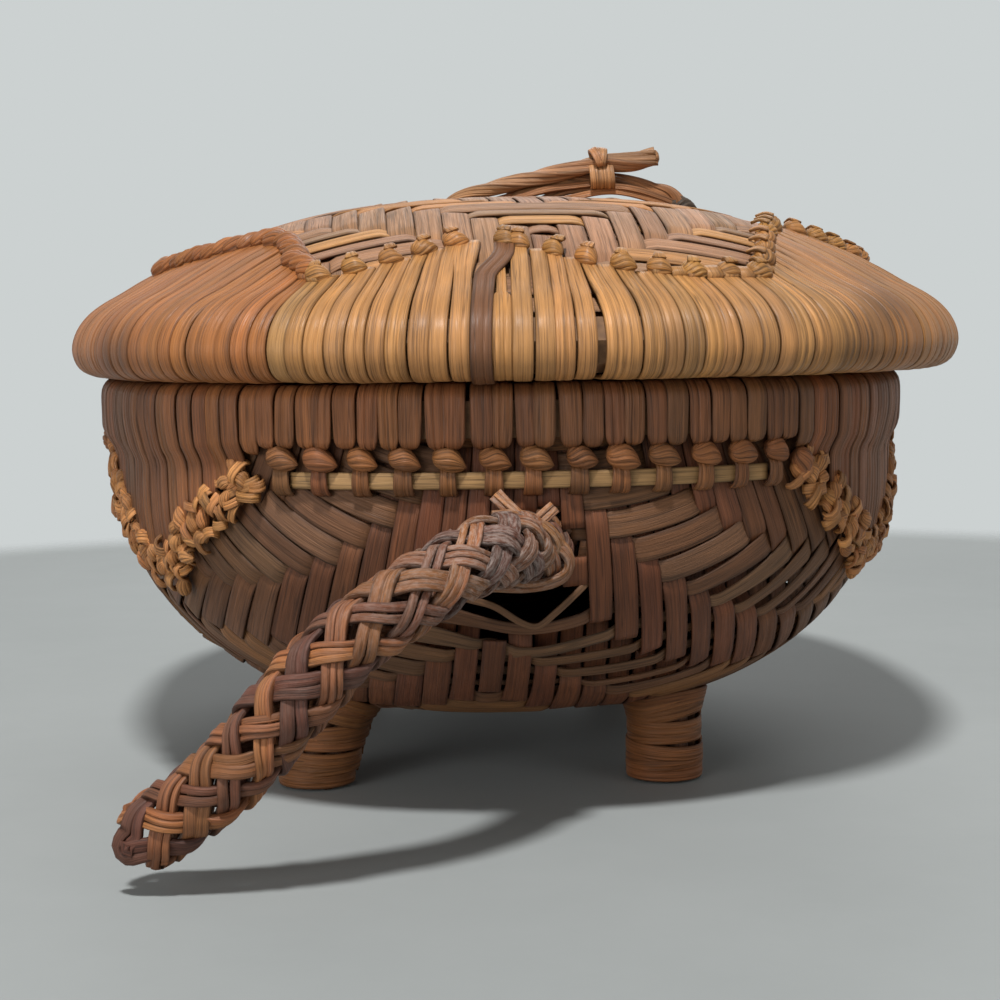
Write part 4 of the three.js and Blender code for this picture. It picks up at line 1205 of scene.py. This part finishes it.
# Dust on the tail as (share of its length, amount)
TAIL_DUST = [(0, 0.05), (0.1, 0.12), (0.2, 0.36), (0.32, 0.32), (0.45, 0.14), (0.6, 0.04), (1, 0.0)]


def tail():
    route = smoothed(np.array(TAIL_POINTS) + [BOWL_X, 0, 0], 200)
    share = np.linspace(0, 1, 200)
    size = 4.8 + 0.3 * smooth((share - 0.85) / 0.15) + 0.25 * np.sin(share * 11)
    dust = np.interp(share, *zip(*TAIL_DUST))
    strips = Strips()
    braid(strips, route, size, families=5, pitch=41, width=3.9, amp=0.65, end_bow=(0.2, 0.75), dusty=dust)
    for points in ROOT_LOOPS:
        line = smoothed(points, 40)
        spokes = unit(unit(line - line.mean(0)) + np.array([0, -0.9, 0]))
        split_strand(strips, line, spokes, width=3.4, thick=1.0, tint=vary(TAWNY, 0.1), fibres=3, dust=0.2)
    for points in LOOSE_ENDS:
        line = smoothed(points, 14)
        spokes = np.tile([0.0, -1.0, 0.3], (14, 1))
        split_strand(strips, line, spokes, width=2.7, thick=0.9, tint=TAWNY * 1.15, fibres=3, dust=0.25)
    strips.piece("tail_braid_strands", braid_cane, "basket", "braid_cane", "tail_braid")


def head():
    """A braid that swells to a blunt knob with a nearly closed end."""
    low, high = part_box("head_braid")
    end = high.y / MM - 5.2
    points = [(low.y / MM, 57), (HEAD_FACE, 57), (HEAD_FACE + 11, 57.6), (end, 59.6)]
    route = smoothed([(BOWL_X, y, z) for y, z in points], 160)
    share = np.clip((route[:, 1] - HEAD_FACE) / (route[-1, 1] - HEAD_FACE), 0, 1)
    swell = lerp(HEAD_NECK, HEAD_SWELL, smooth(share / 0.6))
    nose = np.clip((share - 0.6) / 0.4, 0, 1)
    size = swell * np.sqrt(1 - 0.9 * nose**2) - 1.8
    strips = Strips()
    clean = np.zeros(160)
    braid(strips, route, size, families=7, pitch=48, width=4.4, amp=0.6, end_bow=(0.2, 0.6), dusty=clean)
    strips.piece("head_braid_strands", braid_cane, "basket", "braid_cane", "head_braid")


tail()
root_lashing("tail_lashing", "tail_tie", BOWL_X - 0.6, TAIL_Z, TAIL_RADIUS + 0.2)
head()
root_lashing("head_lashing", "head_tie", BOWL_X, HEAD_Z, HEAD_NECK + 0.4)


# Binding of the lid's rim
LID_WRAPS = 184
LID_WRAP_ROWS = 56
LID_WRAP_WIDTH = 4.9
WRAP_ANGLE = TAU / LID_WRAPS
# Folds of what stands out in the binding
SPLIT_FOLDS = (1.0, 4.0)
DARK_FOLD = -8.0
RUSSET_FOLD = -30.5
NOTCH_FOLD = -41.0
# Gaps between wraps as (fold, share of a wrap that each side moves away)
LID_GAPS = [(SPLIT_FOLDS[0], 0.1), (SPLIT_FOLDS[1], 0.2), (RUSSET_FOLD, 0.1), (NOTCH_FOLD, 0.14)]
# Half width of the binding's inner edge, at degrees round from the front end, left negative
LID_EDGE = [
    (-180, 76), (-151.5, 84.3), (-135, 69.5), (-127, 76.5), (-110, 77), (-90, 75.5), (-66, 78), (-53, 73.5),
    (-45, 68.5), (-38, 72), (-32, 80), (-29, 83.5), (-19, 77.5), (-10.5, 70.5), (-2, 73.8), (8, 80.5),
    (18, 83.6), (27, 84), (31, 78), (38, 69.5), (48, 63.5), (56, 70), (66, 77), (90, 75.5), (110, 77),
    (127, 76.5), (135, 69.5), (151.5, 84.3), (180, 76),
]
# The section of the roll, from the dome round its outside and along its underside
SHOULDER = [
    (85.2, 101.75), (89.0, 99.6), (91.9, 97.4), (94.1, 94.7), (95.35, 91.6), (95.35, 88.8), (94.1, 86.2),
    (91.6, 84.75), (88.4, 84.5),
]
UNDERSIDE = [(80, LID_BOTTOM), (75.6, LID_BOTTOM + 0.1), (74.3, LID_BOTTOM + 1.4), (74.3, LID_BOTTOM + 6)]
# Dark stains on the roll as (x, z, spread)
STAINS = [(22.0, 91.0, 4.0), (57.0, 90.0, 5.0), (64.0, 97.0, 6.0), (-80.0, 90.0, 5.0)]


def lid_edge(angle):
    return np.interp(fold_at(angle), *zip(*LID_EDGE))


def lid_lower(angle):
    half = lid_edge(angle)
    return half, dome_height(half)


def lid_wrap_angles():
    """Where each wrap crosses the rim and where it ends, and the dark wrap that lies askew."""
    phase = 0.5 + rng.uniform(-0.07, 0.07, LID_WRAPS)
    tops, bottoms = match_edges(LID_RADIUS, lid_lower, [-90, 0, 90, 180], phase)
    ranks = np.arange(LID_WRAPS)
    for fold, gap in LID_GAPS:
        first = nearest_wrap(tops, fold)
        push = gap * WRAP_ANGLE * np.exp(-np.maximum(ranks - first - 1, first - ranks) / 1.2)
        tops = tops + np.where(ranks > first, push, -push)
    dark_wrap = nearest_wrap(tops, DARK_FOLD)
    bottoms[dark_wrap] += 1.5 * WRAP_ANGLE
    return tops, bottoms, dark_wrap


def lid_wrap(top, bottom, askew):
    """The line of a wrap from its end on the dome out round the roll, with outward normals."""
    edge = float(lid_edge(bottom))
    half = np.linspace(edge, 81.5, 5)
    dome = np.stack([half, dome_height(half) + GAP + CANE + 0.25 * smooth((half - edge) / 6)], 1)
    start = (edge - 0.7, dome_height(edge - 0.7) + 0.2)
    profile = smoothed(np.vstack([start, dome, SHOULDER, UNDERSIDE]), LID_WRAP_ROWS)
    turn = smooth((profile[:, 0] - edge) / (LID_RADIUS - edge))
    turn[np.argmax(profile[:, 0]) :] = 1
    if askew:
        turn = smooth(turn / 0.5)
    points, out = along_profile(profile, lerp(bottom, top, turn))
    return points, facing(out, 20, [math.cos(top), math.sin(top), 0.6])


def is_russet(top, y):
    """Whether a wrap lies in the reddish left part of the lid."""
    return fold_at(top) < RUSSET_FOLD and y < 60


def lid_wrap_tone(top, x, y):
    """Golden, more copper to the right and sienna in the russet part."""
    amber = smooth((x - 40) / 45)
    tone = lerp(lerp(GOLDEN, HONEY_GOLD, rng.uniform()), COPPER, amber * 0.7)
    return vary(lerp(tone, SIENNA, float(is_russet(top, y))), 0.1, 0.03)


def stained(points):
    """How light the wrap stays at each point."""
    shade = np.ones(len(points))
    for x, z, spread in STAINS:
        away = np.hypot(points[:, 0] - x, points[:, 2] - z)
        shade *= 1 - 0.5 * np.exp(-((away / spread) ** 2))
    return shade


def lid_rim_wraps(tops, bottoms, dark_wrap):
    lines = [lid_wrap(top, bottom, k == dark_wrap) for k, (top, bottom) in enumerate(zip(tops, bottoms))]
    widths = spread_widths(np.array([points for points, _ in lines]), LID_WRAP_WIDTH)
    beside_split = [nearest_wrap(tops, fold) + k for fold in SPLIT_FOLDS for k in (0, 1)]
    strips = Strips()
    for k, (points, out) in enumerate(lines):
        x, y = oval(LID_RADIUS, tops[k])
        tone = lid_wrap_tone(tops[k], x, y)
        width = widths[k] * rng.uniform(0.97, 1.04) * (1 + 0.03 * ripple(np.linspace(0, 8, LID_WRAP_ROWS)))
        if k in beside_split:
            width = np.minimum(width, 3.5)
        if k == dark_wrap:
            tone = UMBER_WRAP
            width = 3.9
        if k == dark_wrap + 1:
            width[:18] *= 0.6
        if y < 0:
            tone = tone * stained(points)[:, None]
        section = either(0.55)
        lift = 0.5 if k == dark_wrap else rng.uniform(-0.14, 0.1)
        strips.strip(points - out * CANE, out, width, CANE, tone, section, base=lift)
    strips.piece("lid_rim_wraps", gold_cane, "lid", "gold_cane", "lid_rim_binding")


lid_tops, lid_bottoms, dark_wrap = lid_wrap_angles()
lid_rim_wraps(lid_tops, lid_bottoms, dark_wrap)


# Knots along the inner edge of the lid's binding
def lid_edge_place(angle, inset):
    """A place just inside the lid's binding, with its right, up and out directions."""
    ends = []
    for a in (angle - 0.01, angle, angle + 0.01):
        half = float(lid_edge(a)) - inset
        x, y = oval(half, a)
        ends.append(np.array([x, y, float(dome_height(half)) + 0.2]))
    out = normal_of(lid_surface, ends[1][0], ends[1][1], 1)
    return ends[1], axes_on(ends, out, -np.array([math.cos(angle), math.sin(angle), 0]))


def russet_knot(strips, place, axes):
    """One turn of the rope-like edge of the russet part."""
    tone = vary(SIENNA * 0.9, 0.14)
    size = rng.uniform(0.8, 0.92)
    spot = place + axes[1] * rng.uniform(-0.6, 0.8) + axes[2] * 1.3
    knot(strips, spot, axes, size, tone, rng.uniform(0.5, 0.9), 1.2)


def brass_knot(strips, place, axes, shade):
    """A knot with the short end of its strip lying towards the lid's middle."""
    right, up, out = axes
    tone = vary(BRASS, 0.14) * shade
    size = rng.uniform(0.8, 0.92)
    knot(strips, place + out * 1.2 * size, axes, size * 1.04, tone, rng.uniform(-0.2, 0.2), 0.78)
    start = place + right * rng.uniform(-0.4, 0.8)
    tongue = smoothed([start + out * 2.6, start + out * 2.5 + up * 1.6, start + out * 1.3 + up * 3.1], 8)
    strips.strip(tongue, unit(out + up * 0.7), np.linspace(2.6, 0.7, 8), 0.6, tone * 0.95, SPLIT)


def lid_knots(tops, bottoms, dark_wrap):
    strips = Strips()
    for k in range(LID_WRAPS):
        place, axes = lid_edge_place(bottoms[k], 1.7)
        if is_russet(tops[k], place[1]):
            russet_knot(strips, place, axes)
        elif k % 2 == 0:
            brass_knot(strips, place, axes, 0.82 if abs(k - dark_wrap) < 2 else 1)
    strips.piece("lid_knots", gold_cane, "lid", "gold_cane", "lid_knot_edging")


lid_knots(lid_tops, lid_bottoms, dark_wrap)


# Ring under the lid
RING_LEVELS = 10
RING_TIES = 36


def ring_canes():
    """Canes coiled one above the other, with flat ties outside and inside."""
    strips = Strips()
    angle = np.linspace(0, TAU, 140, endpoint=False)
    x, y = oval(np.full(140, RING_OUTER - RING_THICKNESS), angle)
    normals = level_normals(np.full(140, RING_OUTER), angle)
    for k in range(RING_LEVELS):
        z = lerp(RING_BOTTOM, RING_TOP, (k + 0.5) / RING_LEVELS)
        line = np.stack([x, y, np.full(140, z)], 1)
        strips.strip(line, normals, 2.75, 2.3, vary(UMBER, 0.12), ROUND, loop=True)
    z = np.linspace(RING_BOTTOM + 0.4, RING_TOP - 0.4, 12)
    for k in range(RING_TIES):
        angle = np.full(12, (k + 0.5) * TAU / RING_TIES)
        for half, way in ((RING_OUTER - 0.45, 1), (RING_OUTER - RING_THICKNESS + 0.35, -1)):
            x, y = oval(np.full(12, half), angle)
            out = level_normals(np.full(12, half), angle) * way
            strips.strip(np.stack([x, y, z], 1), out, 3.2, 0.45, vary(TAWNY, 0.1))
    strips.piece("lid_ring_canes", bound_cane, "lid", "brown_cane", "lid_locating_ring")


ring_canes()


# Handle: a lower cane and an upper one side by side, thin strands under them and a tie
ARCH_Y = 1.354
GRIP_Y = -1.354
HANDLE_RADIUS = 2.15
HANDLE_LAY = 52.0
ARCH_END_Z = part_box("handle_arch")[0].z / MM + 3.2
# Routes as (x, z)
ARCH_POINTS = [
    (0.5, 116.1), (0.8, 121.0), (4, 124.2), (9.5, 125.7), (16.4, 126.6), (22, 126.8), (28, 126.1),
    (34, 124.6), (39.5, 122.2), (45, ARCH_END_Z),
]
GRIP_POINTS = [
    (-15.5, 115.7), (-13, 120.6), (-8, 123.6), (3, 126.4), (12.4, 128.4), (18.8, 129.8), (23.4, 130.5),
    (28.7, 130.8), (34.4, 131.8),
]
# Share of the full thickness, at shares of the length
ARCH_TAPER = ([0, 0.3, 1], [0.7, 0.75, 0.72])
GRIP_TAPER = ([0, 0.5, 0.85, 1], [0.68, 0.7, 0.84, 0.9])
FILLERS = [
    [(-13, 0.6, 117.6), (-5, 0.9, 121.2), (4, 0.6, 123.6), (16, 0.4, 125.2), (21, 0.0, 125.6)],
    [(-10, -2.4, 117.8), (0, -1.6, 121.6), (9, -1.2, 124.4), (20, -0.6, 125.8)],
    [(-4, 1.4, 118.6), (6, 0.2, 121.2), (14, 0.4, 124.2), (22, 0.2, 125.0)],
    [(20, 0.0, 125.2), (28, -0.6, 124.8), (36, 0.2, 122.6), (43, 1.0, 119.4)],
    [(12, -0.8, 122.0), (24, -0.6, 124.0), (34, 0.0, 122.0), (41, 0.6, 118.8)],
]


def twisted(strips, line, thick, tint, taper):
    """Four split strands laid round each other with a long turn."""
    arc = arc_length(line)
    _, across, other = frame_rows(line)
    size = HANDLE_RADIUS * taper
    for k in range(4):
        turn = k * TAU / 4 + arc / HANDLE_LAY * TAU + 0.25 * np.sin(arc / 5 + k)
        spoke = across * np.cos(turn)[:, None] + other * np.sin(turn)[:, None]
        width = size * TAU / 4 * rng.uniform(0.95, 1.25)
        path = line + spoke * (size - thick * rng.uniform(0.9, 1.1))[:, None]
        strips.strip(path, spoke, width, thick, vary(tint, 0.16, 0.05), SPLIT)


def handle_cane(name, node, points, y, feet, tint, taper, blunt=False):
    """A cane of twisted strands, with a knot at each foot as ((x, z), colour)."""
    line = smoothed([(x, y, z) for x, z in points], 120)
    strips = Strips()
    _, across, _ = frame_rows(line)
    size = np.interp(np.linspace(0, 1, 120), *taper)
    strips.strip(line - across * (1.5 * size)[:, None], across, 3.0 * size, 3.0 * size, tint * 0.6, ROUND)
    twisted(strips, line, thick=1.0, tint=tint, taper=size)
    if blunt:
        strips.ball_end(line[-1], unit(line[-1] - line[-3]), 1.9 * size[-1], tint)
    axes = (np.array([1.0, 0, 0]), np.array([0, 0, 1.0]), np.array([0, -1.0, 0]))
    for (x, z), tone in feet:
        foot = np.array([x, y, z])
        strips.turban(foot, axes, (3.1, 2.3, 2.5), tone, ridges=7, depth=0.22, twist=1.4, droop=0.4)
    strips.piece(name, bound_cane, "lid", "brown_cane", node)


def thin_strands():
    strips = Strips()
    for points in FILLERS:
        line = smoothed(points, 40)
        strips.strip(line, (0.0, -1.0, 0.4), rng.uniform(1.4, 2.2), 0.8, vary(ARCH_TONE, 0.15), SPLIT)
    strips.piece("handle_thin_strands", bound_cane, "lid", "brown_cane")


def handle_lashing():
    """A strip wound round both canes, with three loops on top."""
    strips = Strips()
    line = np.stack([np.linspace(20.0, 24.8, 30), np.zeros(30), np.full(30, 128.6)], 1)
    coil(
        strips, line, radius=1.0, pitch=1.75, width=2.2, thick=0.8, tint=TIE_TONE,
        per_turn=30, section=SPLIT, squash=(2.3, 4.2), turned=math.radians(-53),
    )
    t = np.linspace(-0.5, math.pi + 0.5, 12)[:, None]
    for _ in range(3):
        middle = np.array([22.0 + rng.uniform(-1.5, 1.5), GRIP_Y, 131.0])
        lean = rng.uniform(-0.6, 0.6)
        loop = middle + np.hstack([2.2 * np.sin(t) * lean, -2.6 * np.cos(t), 2.3 * np.sin(t)])
        strips.strip(loop, unit(loop - middle), 2.0, 0.7, vary(TIE_TONE, 0.12), SPLIT)
    strips.piece("handle_lashing", gold_cane, "lid", "gold_cane", "handle_tie")


arch_feet = [((0.5, 116.0), ARCH_TONE), ((40.6, 120.9), WALNUT * 0.75)]
grip_feet = [((-15.5, 115.7), GRIP_TONE * 0.8)]
handle_cane("handle_arch_cane", "handle_arch", ARCH_POINTS, ARCH_Y, arch_feet, ARCH_TONE, ARCH_TAPER)
handle_cane(
    "handle_grip_cane", "handle_grip", GRIP_POINTS, GRIP_Y, grip_feet, GRIP_TONE, GRIP_TAPER, blunt=True
)
thin_strands()
handle_lashing()

# Cores that stay as packed, under the bindings
core_cane = core_material()
for node in ("bowl_outer_hoop", "bowl_inner_hoop", "lid_rim_core"):
    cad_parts[node].data.materials.clear()
    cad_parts[node].data.materials.append(core_cane)

# Floor, in metres: a round sheet whose rim fades away
FLOOR_RINGS = [0.1, 0.2, 0.3, 0.4, 0.48]
FLOOR_SIDES = 96
FADE_START = 0.40
FADE_END = 0.46


def floor_material():
    material = bpy.data.materials.new("floor")
    tree = Tree(material)
    place = tree.node("TexCoord").outputs["Object"]
    clouds = tree.noise(place, 14, detail=5, roughness=0.7)
    shader = tree.nodes["Principled BSDF"]
    tree.fill(shader, {
        "Base Color": tree.blend(clouds, opaque(151, 155, 154), opaque(163, 167, 166)),
        "Roughness": 0.6,
        "Specular IOR Level": 0.25,
    })
    length = tree.node("VectorMath", {0: place}, operation="LENGTH").outputs["Value"]
    limits = {"Value": length, "From Min": FADE_START, "From Max": FADE_END}
    fade = tree.node("MapRange", limits, interpolation_type="SMOOTHSTEP").outputs["Result"]
    clear = tree.node("BsdfTransparent").outputs["BSDF"]
    mix = tree.node("MixShader", {"Fac": fade, 1: shader.outputs["BSDF"], 2: clear})
    tree.fill(tree.nodes["Material Output"], {"Surface": mix.outputs["Shader"]})
    return material


def make_floor():
    co = [(0, 0, 0)]
    for radius in FLOOR_RINGS:
        for k in range(FLOOR_SIDES):
            t = TAU * k / FLOOR_SIDES
            co.append((radius * math.cos(t), radius * math.sin(t), 0))
    faces = [(0, 1 + k, 1 + (k + 1) % FLOOR_SIDES) for k in range(FLOOR_SIDES)]
    for ring in range(len(FLOOR_RINGS) - 1):
        a = 1 + ring * FLOOR_SIDES
        b = a + FLOOR_SIDES
        for k in range(FLOOR_SIDES):
            after = (k + 1) % FLOOR_SIDES
            faces.append((a + k, b + k, b + after, a + after))
    mesh = bpy.data.meshes.new("floor")
    mesh.from_pydata(co, [], faces)
    mesh.materials.append(floor_material())
    floor = bpy.data.objects.new("floor", mesh)
    bpy.context.scene.collection.objects.link(floor)


make_floor()

# Lights as name, direction, distance and size in metres, and power in watts
LIGHTS = [
    ("key", (-0.09, -0.49, 0.87), 2.2, 0.24, 48.0),
    ("front", (-0.62, -0.74, 0.17), 1.5, 0.9, 8.5),
    ("fill", (0.75, -0.6, 0.35), 1.5, 1.2, 2.4),
    ("back", (0.1, 0.8, 0.6), 1.5, 1.0, 4.2),
]
LIGHT_AIM = Vector((0, 0, 0.06))


def area_light(name, toward, distance, size, power):
    light = bpy.data.lights.new(name, "AREA")
    light.shape = "DISK"
    light.size = size
    light.energy = power
    obj = bpy.data.objects.new(name, light)
    direction = Vector(toward).normalized()
    obj.location = direction * distance + LIGHT_AIM
    obj.rotation_euler = direction.to_track_quat("Z", "Y").to_euler()
    bpy.context.scene.collection.objects.link(obj)


for settings in LIGHTS:
    area_light(*settings)


def studio_world():
    """Faint even light, and a pale wall that the camera and sharp reflections see."""
    world = bpy.data.worlds.new("studio")
    tree = Tree(world)
    ambient = tree.nodes["Background"]
    tree.fill(ambient, {"Color": (1.0, 0.99, 0.98, 1), "Strength": 0.12})
    wall = tree.node("Background", {"Color": opaque(204, 209, 209)})
    ray = tree.node("LightPath").outputs
    sharp = tree.math("MAXIMUM", ray["Is Glossy Ray"], ray["Is Transmission Ray"])
    seen = tree.math("MAXIMUM", ray["Is Camera Ray"], sharp)
    mix = tree.node("MixShader", {"Fac": seen, 1: ambient.outputs[0], 2: wall.outputs[0]})
    tree.fill(tree.nodes["World Output"], {"Surface": mix.outputs["Shader"]})
    return world


bpy.context.scene.world = studio_world()
bpy.context.scene.view_settings.view_transform = "Standard"

# Camera: where it stands round the bowl, how it is turned, and its lens
YAW = math.radians(-4)
PITCH = math.radians(-5.35)
ROLL = math.radians(0.8)
DISTANCE = 434.0
EYE_HEIGHT = 94.5
SENSOR = 36
LENS = SENSOR * 1.885
SIDE_SHIFT = 0.0045


def make_camera():
    forward = Vector((-math.sin(YAW) * math.cos(PITCH), math.cos(YAW) * math.cos(PITCH), math.sin(PITCH)))
    level = Vector((math.cos(YAW), math.sin(YAW), 0))
    upright = level.cross(forward)
    right = level * math.cos(ROLL) - upright * math.sin(ROLL)
    up = level * math.sin(ROLL) + upright * math.cos(ROLL)
    eye = Vector((BOWL_X + DISTANCE * math.sin(YAW), -DISTANCE * math.cos(YAW), EYE_HEIGHT)) * MM
    camera = bpy.data.cameras.new("camera")
    camera.sensor_width = SENSOR
    camera.lens = LENS
    camera.shift_x = SIDE_SHIFT
    camera.clip_start = 0.01
    obj = bpy.data.objects.new("camera", camera)
    bpy.context.scene.collection.objects.link(obj)
    obj.matrix_world = Matrix.Translation(eye) @ Matrix((right, up, -forward)).transposed().to_4x4()
    bpy.context.scene.camera = obj


make_camera()
